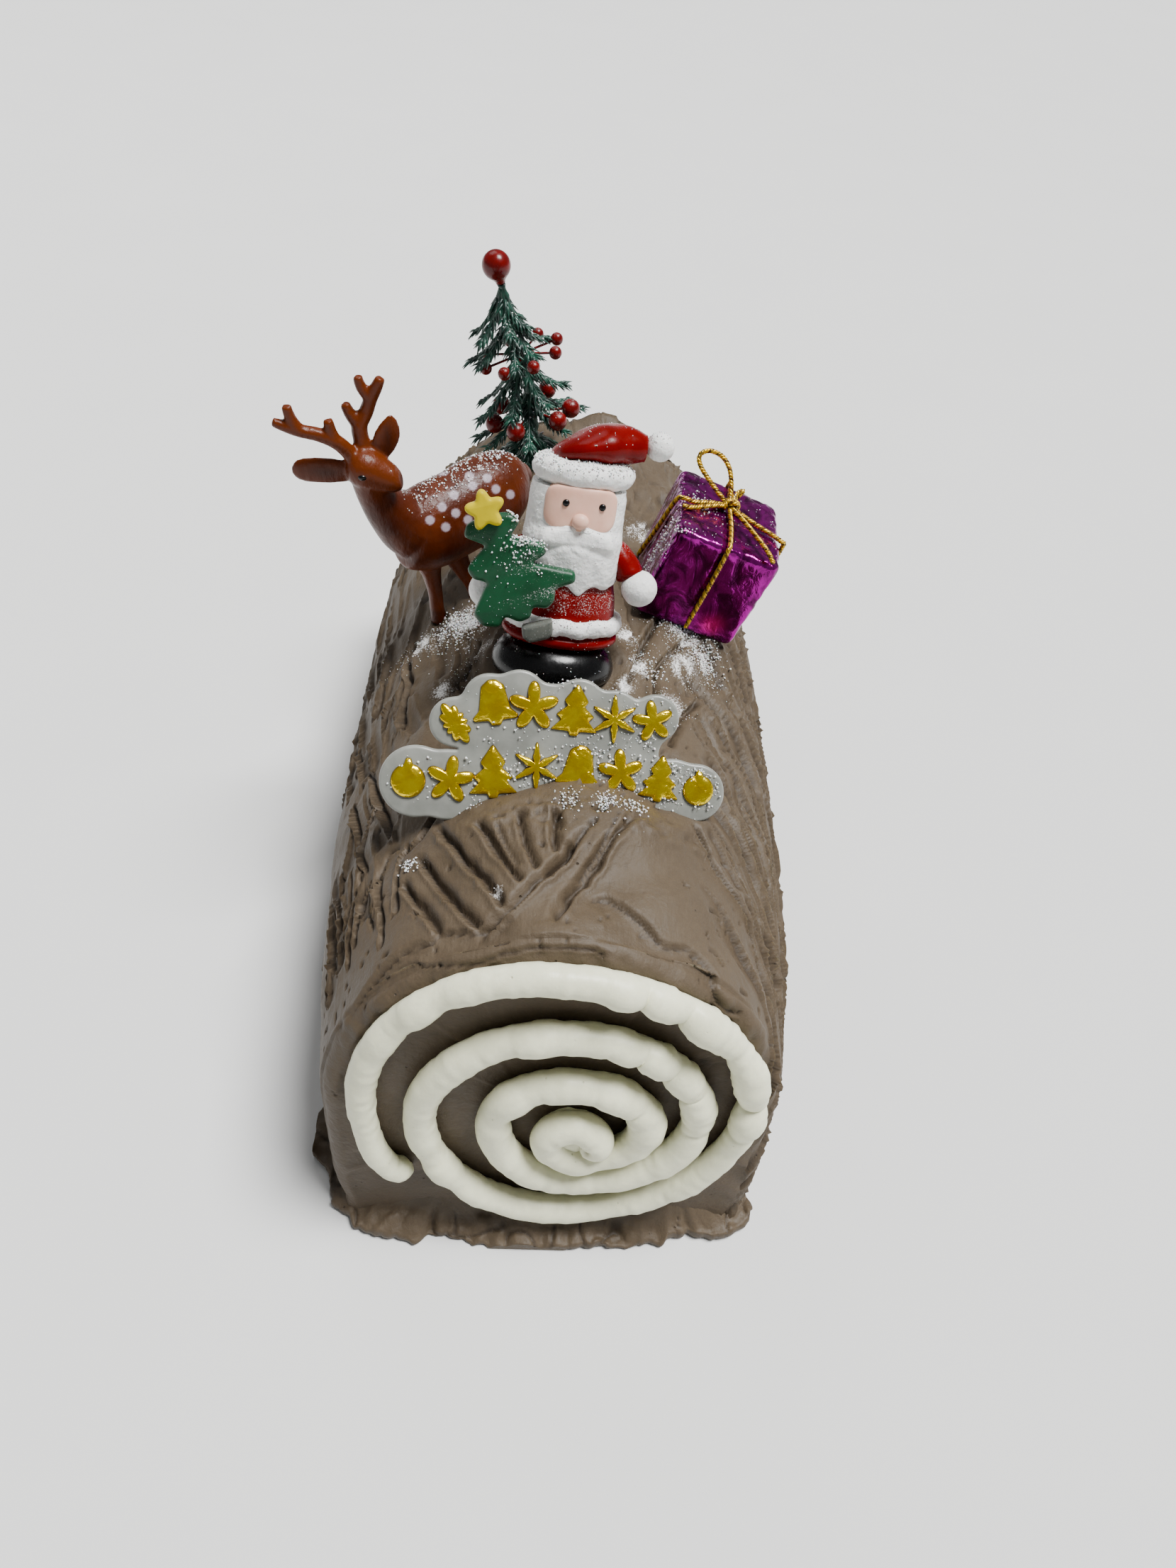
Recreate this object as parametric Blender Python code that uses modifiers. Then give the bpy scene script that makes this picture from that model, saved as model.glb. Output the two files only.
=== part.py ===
"""Yule log cake: an uncut buttercream log with piped end spirals, a plaque and Christmas toppers.

The log lies along Y on its flat underside, its front face towards -Y and its top towards +Z.
The origin is on the underside, below the middle of the log. Lengths are in metres.
"""
from math import atan2, cos, exp, pi, radians, sin

import bmesh
import bpy
import numpy as np
from mathutils import Euler, Matrix, Vector

MM = 0.001
GAP = 0.3 * MM                      # clearance between pieces that touch

# The log
FRONT_Y = -112.0 * MM               # front face, at the underside
BACK_Y = 110.0 * MM
LOG_HEIGHT = 98.0 * MM
BACK_DROP = 4.0 * MM                # the back end is this much lower
MID_HALF_WIDTH = 57.5 * MM
END_HALF_WIDTH = 50.0 * MM
WAIST = 0.46                        # height of the widest line, as a part of the log's height
TUCK = 1.12                         # depth of the rounded lower half, as a part of the waist height
FRONT_LEAN = 0.15                   # the front face leans back by this much for each unit of height
BACK_LEAN = -0.05
EDGE_ROUND = 3.0 * MM               # roundness of the faces' edges
HEM_THICKNESS = 3.0 * MM
HEM_FRONT = 6.5 * MM                # how far the hem of cream spreads in front of the face
LOG_RINGS = 18

# The piped rope on each face, as the outermost points of its turns: (x, z) at left, top, right, bottom
ROPE_TAIL = (-34.0, 26.5)
ROPE_TURNS = (
    (-41.0, 52.0), (-3.0, 93.5), (42.4, 54.0), (4.0, 11.8),
    (-28.7, 47.0), (2.0, 76.4), (31.5, 50.0), (6.0, 24.8),
    (-12.8, 47.0), (3.5, 60.7), (20.6, 47.5), (9.0, 34.5),
    (1.0, 42.0), (6.0, 46.5))
ROPE_RADIUS = 3.3 * MM
ROPE_SWELL = 0.8 * MM               # the rope is this much thicker at the centre than at the tail
ROPE_TIP = 5.5 * MM                 # height of the pulled-up tip above the rope's middle line
BACK_ROPE_SIZE = 0.80               # the back face's spiral, as a part of the front one

# The plaque: round lobes (across, up the slope, radius) in its own plane, joined into one outline
PLAQUE_BASE = (-2.9, -59.7, 91.0)
PLAQUE_TURN = (-40.0, 2.6, 4.4)     # leans back, dips to the right, turned a little
PLAQUE_THICKNESS = 2.0
PLAQUE_LOBES = (
    (-29.6, 8.2, 7.8), (-22.8, 7.6, 7.7), (-14.5, 9.0, 7.6), (-6.0, 9.5, 7.6), (2.0, 9.5, 7.6),
    (10.0, 9.0, 7.4), (18.0, 8.4, 7.2), (25.6, 8.0, 6.4), (31.0, 6.9, 6.5),
    (-21.8, 21.0, 5.4), (-14.6, 26.0, 5.6), (-8.2, 26.8, 5.8), (-1.6, 24.0, 5.8), (4.6, 25.2, 5.9),
    (12.4, 23.2, 5.7), (21.2, 22.9, 5.4), (-14.0, 18.0, 7.0), (-3.0, 18.0, 7.0), (7.0, 18.0, 7.0),
    (16.0, 17.4, 6.6))

# The figure of Father Christmas, in a frame that leans back with it
FIGURE_BASE = (-4.5, -17.0, 98.0)
FIGURE_TURN = (-22.0, 5.0, 0.0)
BOOT_HALF = (14.5, 12.5)            # half width and half depth
COAT_HALF = (12.2, 9.6)
TRIM_GROOVE = (10.3, 14.1)          # bottom and top of the groove for the coat's white trim
HEAD_HALF = (11.2, 9.2)
FACE_SIDES = (-7.0, 8.6)
BRIM_HALF = (11.4, 10.2)
BRIM_BAND = (42.8, 48.5)            # bottom and top of the hat's brim
POMPOM_RADIUS = 3.2
MITTEN_RADIUS = 4.1

# The reindeer, the fir topper and the parcel
DEER_BODY_RADIUS = (9.0, 11.3)      # half width and half height of the barrel
FIR_Y = 82.0
FIR_TIERS = ((101.5, 106.0, 15.2), (113.0, 122.6, 12.4), (127.2, 133.5, 10.8), (133.6, 141.5, 7.4))
FIR_LOBES = 6
FIR_TILT = 0.32                     # the tiers hang lower on the left
BERRY_RADIUS = 1.8
BAUBLE_RADIUS = 2.7
TOP_BALL_RADIUS = 3.85
PARCEL_CENTRE = (33.9, 18.8, 105.2)
PARCEL_TURN = (0.0, 18.0, -5.1)
PARCEL_SIZE = 27.8
CORD_RADIUS = 0.65

COLOURS = {                         # linear red, green, blue, then roughness and metallic
    "mocha_cream": (0.25, 0.18, 0.13, 0.75, 0.0),
    "white_cream": (0.78, 0.76, 0.66, 0.6, 0.0),
    "plaque_plastic": (0.75, 0.76, 0.74, 0.35, 0.0),
    "black_plastic": (0.01, 0.01, 0.012, 0.4, 0.0),
    "red_plastic": (0.5, 0.008, 0.01, 0.4, 0.0),
    "white_plastic": (0.78, 0.78, 0.75, 0.5, 0.0),
    "skin_plastic": (0.75, 0.45, 0.34, 0.5, 0.0),
    "green_plastic": (0.01, 0.15, 0.05, 0.5, 0.0),
    "yellow_plastic": (0.85, 0.75, 0.02, 0.5, 0.0),
    "grey_plastic": (0.06, 0.065, 0.06, 0.5, 0.0),
    "deer_plastic": (0.2, 0.045, 0.005, 0.3, 0.0),
    "fir_plastic": (0.008, 0.08, 0.045, 0.4, 0.0),
    "purple_foil": (0.25, 0.005, 0.2, 0.2, 0.9),
    "gold_cord": (0.7, 0.42, 0.06, 0.3, 1.0),
}


def clear_scene():
    for item in list(bpy.data.objects):
        bpy.data.objects.remove(item)


def make_collection(name):
    group = bpy.data.collections.new(name)
    bpy.context.scene.collection.children.link(group)
    return group


def make_material(name):
    red, green, blue, roughness, metallic = COLOURS[name]
    finish = bpy.data.materials.new(name)
    finish.use_nodes = True
    shader = finish.node_tree.nodes["Principled BSDF"]
    shader.inputs["Base Color"].default_value = (red, green, blue, 1.0)
    shader.inputs["Roughness"].default_value = roughness
    shader.inputs["Metallic"].default_value = metallic
    return finish


def place_mesh(mesh, name, finish=None, parent=None, group=None):
    """Wrap a mesh in an object that belongs to the cake, or to another collection."""
    item = bpy.data.objects.new(name, mesh)
    (group or CAKE).objects.link(item)
    item.parent = parent
    if finish:
        mesh.materials.clear()
        mesh.materials.append(FINISHES[finish])
    mesh.shade_smooth()
    mesh.set_sharp_from_angle(angle=radians(50))
    bpy.context.view_layer.update()
    return item


def stand(name, place, turn):
    """An empty that carries a topper: place in millimetres, turn in degrees about X, Y and Z."""
    item = bpy.data.objects.new(name, None)
    CAKE.objects.link(item)
    item.location = Vector(place) * MM
    item.rotation_euler = Euler([radians(angle) for angle in turn], "XYZ")
    bpy.context.view_layer.update()
    return item


def outward(model):
    """Turn a closed mesh's faces out, whichever way they were made."""
    if model.calc_volume(signed=True) < 0.0:
        bmesh.ops.reverse_faces(model, faces=model.faces)


def loft(name, rings, start, end, finish, parent=None):
    """A closed body through equal rings of points, with a pole at each end."""
    model = bmesh.new()
    rows = [[model.verts.new(point) for point in ring] for ring in rings]
    poles = [model.verts.new(start), model.verts.new(end)]
    count = len(rows[0])
    for low, high in zip(rows, rows[1:]):
        for i in range(count):
            j = (i + 1) % count
            model.faces.new((low[i], low[j], high[j], high[i]))
    for i in range(count):
        j = (i + 1) % count
        model.faces.new((poles[0], rows[0][j], rows[0][i]))
        model.faces.new((poles[1], rows[-1][i], rows[-1][j]))
    bmesh.ops.triangulate(model, faces=model.faces)
    outward(model)
    mesh = bpy.data.meshes.new(name)
    model.to_mesh(mesh)
    model.free()
    return place_mesh(mesh, name, finish, parent)


def oval_rings(sections, sides, power=2.0):
    """Level rings from rows of (x, y, z, half width, half depth), as superellipses, in millimetres."""
    angles = np.arange(sides) * 2.0 * pi / sides
    across = np.sign(np.cos(angles)) * np.abs(np.cos(angles)) ** (2.0 / power)
    deep = np.sign(np.sin(angles)) * np.abs(np.sin(angles)) ** (2.0 / power)
    rings = []
    for x, y, z, half_width, half_depth in sections:
        ring = np.stack([x + half_width * across, y + half_depth * deep, np.full(sides, z)], axis=1)
        rings.append(ring * MM)
    return rings


def oval_stack(name, sections, finish, parent, sides=18, power=2.0):
    """A closed stack of level ovals, flat at its bottom and its top."""
    rings = oval_rings(sections, sides, power)
    return loft(name, rings, rings[0].mean(axis=0), rings[-1].mean(axis=0), finish, parent)


def ball(name, centre, radii, finish, parent=None, segments=9, rings=6):
    """A sphere or an ellipsoid, in millimetres."""
    model = bmesh.new()
    bmesh.ops.create_uvsphere(model, u_segments=segments, v_segments=rings, radius=1.0)
    bmesh.ops.transform(model, matrix=Matrix.Diagonal(Vector(radii) * MM).to_4x4(), verts=model.verts)
    bmesh.ops.translate(model, vec=Vector(centre) * MM, verts=model.verts)
    mesh = bpy.data.meshes.new(name)
    model.to_mesh(mesh)
    model.free()
    return place_mesh(mesh, name, finish, parent)


def tube(name, points, radii, finish, parent=None, detail=1):
    """A tapered round tube along points in millimetres: a bevelled curve, made a welded mesh."""
    curve = bpy.data.curves.new(name, "CURVE")
    curve.dimensions = "3D"
    curve.bevel_depth = MM
    curve.bevel_resolution = detail
    curve.use_fill_caps = True
    line = curve.splines.new("POLY")
    line.points.add(len(points) - 1)
    for knot, point, radius in zip(line.points, points, radii):
        knot.co = (*(Vector(point) * MM), 1.0)
        knot.radius = radius
    guide = bpy.data.objects.new(name, curve)
    CAKE.objects.link(guide)
    bpy.context.view_layer.update()
    depsgraph = bpy.context.evaluated_depsgraph_get()
    mesh = bpy.data.meshes.new_from_object(guide.evaluated_get(depsgraph))
    bpy.data.objects.remove(guide)
    weld(mesh)
    return place_mesh(mesh, name, finish, parent)


def weld(mesh):
    model = bmesh.new()
    model.from_mesh(mesh)
    bmesh.ops.remove_doubles(model, verts=model.verts, dist=0.01 * MM)
    bmesh.ops.triangulate(model, faces=model.faces)
    outward(model)
    model.to_mesh(mesh)
    model.free()


def evaluated_mesh(item):
    """The item's mesh with its modifiers applied."""
    bpy.context.view_layer.update()
    depsgraph = bpy.context.evaluated_depsgraph_get()
    return bpy.data.meshes.new_from_object(item.evaluated_get(depsgraph))


def combine(item, others):
    """Join closed pieces into the first one as a single solid, and remove them."""
    for other in others:
        join = item.modifiers.new("join", "BOOLEAN")
        join.operation = "UNION"
        join.use_self = True
        join.object = other
    mesh = evaluated_mesh(item)
    weld(mesh)
    item.modifiers.clear()
    item.data = mesh
    for other in others:
        bpy.data.objects.remove(other)
    return item


def make_room(item, neighbour, gap=GAP):
    """Cut the item back round its neighbour, with a gap, by a swollen copy of the neighbour."""
    mesh = evaluated_mesh(neighbour)
    mesh.transform(neighbour.matrix_world)
    model = bmesh.new()
    model.from_mesh(mesh)
    model.normal_update()
    for vertex in model.verts:
        vertex.co += vertex.normal * gap * 1.3
    model.to_mesh(mesh)
    model.free()
    cutter = place_mesh(mesh, item.name + "_room_for_" + neighbour.name, group=CUTTERS)
    cutter.hide_render = True
    cutter.display_type = "WIRE"
    cut = item.modifiers.new("room", "BOOLEAN")
    cut.operation = "DIFFERENCE"
    cut.use_self = True
    cut.object = cutter


# ---------------------------------------------------------------- the log

def log_half_width(s):
    """Half width at s, from 0 at the front to 1 at the back."""
    return MID_HALF_WIDTH - (MID_HALF_WIDTH - END_HALF_WIDTH) * abs(2.0 * s - 1.0) ** 2.8


def log_height(s):
    return LOG_HEIGHT - BACK_DROP * s ** 3


def hem_width(s, side):
    """How far the cream spreads over the board beside the log, ragged along its length."""
    ripple = 1.3 * sin(41.0 * s + side) + 0.9 * sin(93.0 * s - 2.0 * side)
    return (5.6 + ripple) * MM


def hem_reach(x):
    """How far the cream spreads in front of a face at x, most in the middle."""
    part = min(1.0, abs(x) / (1.16 * END_HALF_WIDTH))
    return HEM_FRONT * (1.0 - 2.0 * part ** 4) + 0.8 * MM * sin(x / MM * 0.35)


def half_section(s, side, spread):
    """One side of the log's section, from the middle of the underside up; spread 0 leaves off the hem."""
    width = log_half_width(s)
    height = log_height(s)
    waist = WAIST * height
    lower = lambda part: width * (1.0 - (part / TUCK) ** 6) ** (1.0 / 6.0)
    foot = lower(1.0)
    edge = foot + spread * hem_width(s, side)
    points = [(0.45 * edge, 0.0), (edge, 0.0), (edge - spread * MM, HEM_THICKNESS * 0.8),
              (foot + spread * MM, HEM_THICKNESS * 1.8)]
    points += [(lower(part), waist * (1.0 - part)) for part in (0.75, 0.5, 0.25)]
    for angle in (0.0, 18.0, 36.0, 52.0, 66.0, 79.0):
        turn = radians(angle)
        points.append((width * cos(turn), waist + (height - waist) * sin(turn)))
    return [(side * x, z) for x, z in points]


def log_section(s, spread):
    """The whole section, anticlockwise as seen from the front."""
    right = half_section(s, 1.0, spread)
    left = half_section(s, -1.0, spread)
    return [(0.0, 0.0)] + right + [(0.0, log_height(s))] + left[::-1]


def cream_relief(x, y, height):
    """Drags of the palette knife and the cream pushed up round the toppers, as added millimetres."""
    drags = 0.7 * sin(0.21 * x + 0.11 * y) + 0.5 * sin(0.33 * y - 0.17 * x + 1.0)
    mound = 3.0 * exp(-((x - 4.0) / 19.0) ** 2 - ((y + 66.0) / 8.0) ** 2)
    collar = 1.6 * exp(-((((x + 4.0) / 17.5) ** 2 + ((y + 18.0) / 16.0) ** 2 - 1.0) / 0.35) ** 2)
    bed = 8.5 * exp(-((x - 40.0) / 11.0) ** 2 - ((y - 18.0) / 15.0) ** 2)
    lump = 3.2 * exp(-((x - 9.0) / 9.0) ** 2 - ((y - 102.0) / 6.0) ** 2)
    return (drags + mound + collar + bed + lump) * min(1.0, max(0.0, (height - 50.0) / 30.0))


def log_ring(s, depth, factor, lip):
    """One ring: depth is its distance in from the faces, lip is -1 or 1 where its foot spreads out."""
    ring = []
    height = log_height(s)
    for x, flat_z in log_section(s, 1.0 if factor == 1.0 else 0.0):
        z = WAIST * height + (flat_z - WAIST * height) * factor
        y = FRONT_Y + s * (BACK_Y - FRONT_Y) + depth + (FRONT_LEAN * (1.0 - s) + BACK_LEAN * s) * z
        if z <= HEM_THICKNESS:
            y += lip * (hem_reach(x) + EDGE_ROUND)
        lift = cream_relief(x / MM, y / MM, z / MM) * MM if 0.02 < s < 0.99 else 0.0
        ring.append((x * factor, y, z + lift))
    return ring


def build_log():
    """The uncut log: rings along Y between two flat faces."""
    face = lambda s, depth: log_ring(s, depth, 0.93, 0.0)
    rings = [face(0.0, 0.0), log_ring(0.0, EDGE_ROUND, 1.0, -1.0)]
    for i in range(1, LOG_RINGS):
        rings.append(log_ring(i / LOG_RINGS, 0.0, 1.0, 0.0))
    rings += [log_ring(1.0, -EDGE_ROUND, 1.0, 1.0), face(1.0, 0.0)]
    waist = WAIST * LOG_HEIGHT
    start = (0.0, FRONT_Y + FRONT_LEAN * waist, waist)
    end = (0.0, BACK_Y + BACK_LEAN * waist, waist)
    return loft("log_body", rings, start, end, "mocha_cream")


# ---------------------------------------------------------------- the piped spirals

def rope_line(steps):
    """The rope's middle line on a face, as quarter ellipses between the turns' outermost points."""
    stops = (ROPE_TAIL,) + ROPE_TURNS
    line = [stops[0]]
    for number, (a, b) in enumerate(zip(stops, stops[1:])):
        upright = number % 2 == 0       # this quarter ends at the left or the right of its turn
        for step in range(1, steps + 1):
            turn = 0.5 * pi * step / steps
            if upright:
                line.append((a[0] + (b[0] - a[0]) * sin(turn), b[1] + (a[1] - b[1]) * cos(turn)))
            else:
                line.append((b[0] + (a[0] - b[0]) * cos(turn), a[1] + (b[1] - a[1]) * sin(turn)))
    return line


def build_spiral(name, face_y, lean, outward_sign, size, steps):
    """A round rope lying on a face, its inner end pulled out into a tip; steps are per quarter turn."""
    low = WAIST * LOG_HEIGHT / MM
    line = [(x * size, low + (z - low) * size) for x, z in rope_line(steps)]
    count = len(line)
    points = []
    radii = []
    for number, (x, z) in enumerate(line):
        part = number / (count - 1)
        radius = ROPE_RADIUS / MM + ROPE_SWELL / MM * part + 0.25 * sin(number * 1.9)
        y = face_y / MM + lean * z + outward_sign * (radius + 1.1 * GAP / MM)
        points.append((-outward_sign * x, y, z))
        radii.append(radius * (0.6 if number == 0 else 1.0))
    x, y, z = points[-1]
    points.append((x - outward_sign * 2.6, y + outward_sign * ROPE_TIP / MM * 0.35, z - 0.5))
    radii.append(2.9)
    points.append((x - outward_sign * 4.2, y + outward_sign * ROPE_TIP / MM, z - 2.5))
    radii.append(0.9)
    return tube(name, points, radii, "white_cream")


# ---------------------------------------------------------------- the plaque

def lobes_outline(lobes, steps):
    """The outer edge of overlapping discs: each disc's free arcs, walked end to end."""
    arcs = []
    for number, (x, y, radius) in enumerate(lobes):
        free = []
        for i in range(steps):
            turn = 2.0 * pi * i / steps
            point = Vector((x + radius * cos(turn), y + radius * sin(turn)))
            free.append(all((point - Vector(other[:2])).length > other[2]
                            for k, other in enumerate(lobes) if k != number) and point)
        first = next((i for i in range(steps) if free[i] and not free[i - 1]), None)
        arc = []
        for i in range(first or 0, (first or 0) + steps):
            point = free[i % steps]
            if point:
                arc.append(point)
            elif arc:
                arcs.append(arc)
                arc = []
    outline = list(arcs.pop(0))
    start = outline[0]
    while arcs:
        nearest = min(arcs, key=lambda arc: (arc[0] - outline[-1]).length)
        if (start - outline[-1]).length < (nearest[0] - outline[-1]).length:
            break
        outline += nearest
        arcs.remove(nearest)
    return [tuple(point) for point in outline]


def build_plaque():
    """A flat plate with a lobed edge, stuck into the cream by its lower edge."""
    frame = stand("plaque_stand", PLAQUE_BASE, PLAQUE_TURN)
    return flat_shape("plaque", lobes_outline(PLAQUE_LOBES, 16), PLAQUE_THICKNESS, "plaque_plastic",
                      frame, (0.0, 0.0, 0.0), 0.0)


# ---------------------------------------------------------------- Father Christmas

def build_boots(frame):
    wide, deep = BOOT_HALF
    rows = [(0.0, 0.0, -1.0, wide * 0.92, deep * 0.92), (0.0, 0.0, 0.8, wide, deep),
            (0.2, 0.0, 3.0, wide * 0.97, deep * 0.97), (0.4, 0.0, 5.4, wide * 0.88, deep * 0.85),
            (0.6, 0.0, 7.0, wide * 0.78, deep * 0.72)]
    return oval_stack("figure_boots", rows, "black_plastic", frame)


def build_coat(frame):
    """The coat, with a groove that holds the white trim."""
    wide, deep = COAT_HALF
    low, high = TRIM_GROOVE
    rows = [(0.7, 0.0, 7.3, wide * 1.03, deep * 1.06), (0.7, 0.0, 8.2, wide * 1.08, deep * 1.1),
            (0.7, 0.0, 9.4, wide * 1.05, deep * 1.06), (0.6, 0.0, low, wide, deep),
            (0.6, 0.0, low, wide - 1.0, deep - 1.0), (0.6, 0.0, high, wide - 1.0, deep - 1.0),
            (0.6, 0.0, high, wide * 0.98, deep * 0.98), (0.5, 0.0, 18.0, wide * 0.95, deep * 0.95),
            (0.4, 0.0, 24.0, wide * 0.8, deep * 0.8)]
    return oval_stack("figure_coat", rows, "red_plastic", frame)


def build_trim(frame):
    """A rounded white band round the coat's lower edge."""
    wide, deep = COAT_HALF
    model = bmesh.new()
    rings = 18
    sides = 5
    rows = []
    for i in range(rings):
        turn = 2.0 * pi * i / rings
        row = []
        for j in range(sides):
            roll = 2.0 * pi * j / sides
            out = 0.8 + 1.3 * cos(roll)
            row.append(model.verts.new((((wide + out) * cos(turn) + 0.6) * MM,
                                        (deep + out) * sin(turn) * MM, (12.2 + 1.6 * sin(roll)) * MM)))
        rows.append(row)
    for i in range(rings):
        for j in range(sides):
            a, b = rows[i], rows[(i + 1) % rings]
            k = (j + 1) % sides
            model.faces.new((a[j], b[j], b[k], a[k]))
    bmesh.ops.triangulate(model, faces=model.faces)
    outward(model)
    mesh = bpy.data.meshes.new("figure_coat_trim")
    model.to_mesh(mesh)
    model.free()
    return place_mesh(mesh, "figure_coat_trim", "white_plastic", frame)


def build_head(frame):
    """The white mass of hair, moustache and beard, with a wavy lower edge."""
    wide, deep = HEAD_HALF
    rows = ((21.5, 0.93, 0.92), (23.0, 1.03, 1.04), (28.0, 1.02, 1.1), (31.6, 1.0, 1.14),
            (33.6, 0.98, 1.1), (34.3, 0.97, 1.0), (40.0, 0.96, 1.0), (42.4, 0.93, 0.97))
    rings = oval_rings([(0.5, 0.0, z, wide * a, deep * b) for z, a, b in rows], 20, 2.4)
    low = rings[0]
    front = np.clip(-low[:, 1] / (deep * MM), 0.0, 1.0)
    tip = np.exp(-((low[:, 0] / MM - 3.0) / 3.0) ** 2)
    low[:, 2] -= front * (2.6 * tip + 0.5) * MM
    for ring in rings:
        back = ring[:, 1] > 0.0
        ring[back, 1] = np.minimum(ring[back, 1], deep * MM)
    return loft("figure_head", rings, low.mean(axis=0), rings[-1].mean(axis=0), "white_plastic", frame)


def build_face(frame):
    """The face, a curved panel let into the front of the head, with its nose."""
    left, right = FACE_SIDES
    rings = []
    for z, inset in ((34.7, 5.0), (35.8, 2.2), (37.0, 0.6), (41.4, 0.0), (42.2, 0.8)):
        ring = []
        for out, steps in ((0.35, 9), (-2.2, 5)):
            span = np.linspace(left + inset, right - inset, steps)
            part = np.clip(np.abs(span - 0.5) / HEAD_HALF[0], 0.0, 1.0) ** 2.4
            depth = -(HEAD_HALF[1] + out) * (1.0 - part) ** (1.0 / 2.4)
            arc = [Vector((x, y, z)) * MM for x, y in zip(span, depth)]
            ring += arc if out > 0.0 else arc[::-1]
        rings.append(ring)
    middles = [sum(ring, Vector()) / len(ring) for ring in (rings[0], rings[-1])]
    panel = loft("figure_face", rings, middles[0], middles[1], "skin_plastic", frame)
    nose = ball("nose", (0.9, -9.9, 36.5), (1.6, 1.3, 1.5), "skin_plastic", frame, 8, 6)
    return combine(panel, [nose])


def build_brim(frame):
    low, high = BRIM_BAND
    middle = 0.5 * (low + high)
    half = 0.5 * (high - low)
    rows = []
    for angle in (-75, -40, 0, 40, 75):
        turn = radians(angle)
        shrink = 3.0 * (1.0 - cos(turn))
        rows.append((0.9, 0.0, middle + half * sin(turn), BRIM_HALF[0] - shrink, BRIM_HALF[1] - shrink))
    return oval_stack("figure_hat_brim", rows, "white_plastic", frame)


def build_hat(frame):
    """A fat cone lying over to the right on the brim: upright rings along X, flat below."""
    floor = BRIM_BAND[1] + 0.3
    rings = []
    for x, wide, top in ((-5.6, 2.4, 49.8), (-4.0, 5.0, 51.4), (0.0, 7.6, 54.3), (4.5, 7.2, 55.6),
                         (8.5, 5.2, 55.4), (11.5, 3.2, 54.9), (13.1, 2.2, 54.4)):
        bottom = floor - 1.2 + max(0.0, x - 4.0) * 0.28
        middle = 0.5 * (top + bottom)
        ring = []
        for i in range(16):
            turn = 2.0 * pi * i / 16
            z = max(floor, middle + (top - middle) * sin(turn))
            ring.append(Vector((x, wide * cos(turn), z)) * MM)
        rings.append(ring)
    start = Vector((-5.9, 0.0, floor + 0.4)) * MM
    end = Vector((13.3, 0.0, 52.4)) * MM
    return loft("figure_hat", rings, start, end, "red_plastic", frame)


def fir_outline():
    """The held fir's outline, (across, up) from its foot: three tiers of rounded arms over a lobed hem."""
    return [(-8.6, 0.0), (-5.2, -1.4), (-3.4, 0.6), (-1.0, -1.6), (1.6, -1.4), (2.8, 0.8), (5.4, -0.6),
            (7.6, 0.6), (8.2, 3.0), (12.8, 3.0), (13.4, 5.2), (5.4, 9.6), (9.0, 10.6), (9.2, 12.6),
            (2.8, 16.0), (5.8, 18.4), (4.6, 20.6), (0.0, 21.6), (-4.8, 21.0), (-6.2, 18.8),
            (-2.4, 15.8), (-7.8, 12.4), (-7.2, 10.0), (-4.6, 8.6), (-9.6, 3.0)]


def flat_shape(name, outline, thickness, finish, parent, place, roll):
    """A plate with rounded edges from a flat outline: a filled and extruded curve, made a mesh."""
    curve = bpy.data.curves.new(name, "CURVE")
    curve.dimensions = "2D"
    curve.fill_mode = "BOTH"
    curve.extrude = thickness * MM * 0.5
    line = curve.splines.new("POLY")
    line.points.add(len(outline) - 1)
    for knot, (x, y) in zip(line.points, outline):
        knot.co = (x * MM, y * MM, 0.0, 1.0)
    line.use_cyclic_u = True
    guide = bpy.data.objects.new(name, curve)
    CAKE.objects.link(guide)
    mesh = evaluated_mesh(guide)
    bpy.data.objects.remove(guide)
    weld(mesh)
    upright = Matrix.Rotation(radians(90), 4, "X")
    rolled = Matrix.Rotation(radians(roll), 4, "Y")
    mesh.transform(Matrix.Translation(Vector(place) * MM) @ rolled @ upright)
    return place_mesh(mesh, name, finish, parent)


def star_outline(points, outer, inner):
    """A rounded star: its radius follows a cosine between the outer and the inner radius."""
    count = points * 4
    outline = []
    for i in range(count):
        turn = 2.0 * pi * i / count
        radius = 0.5 * (outer + inner) + 0.5 * (outer - inner) * cos(points * turn)
        outline.append((radius * sin(turn), radius * cos(turn)))
    return outline


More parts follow.
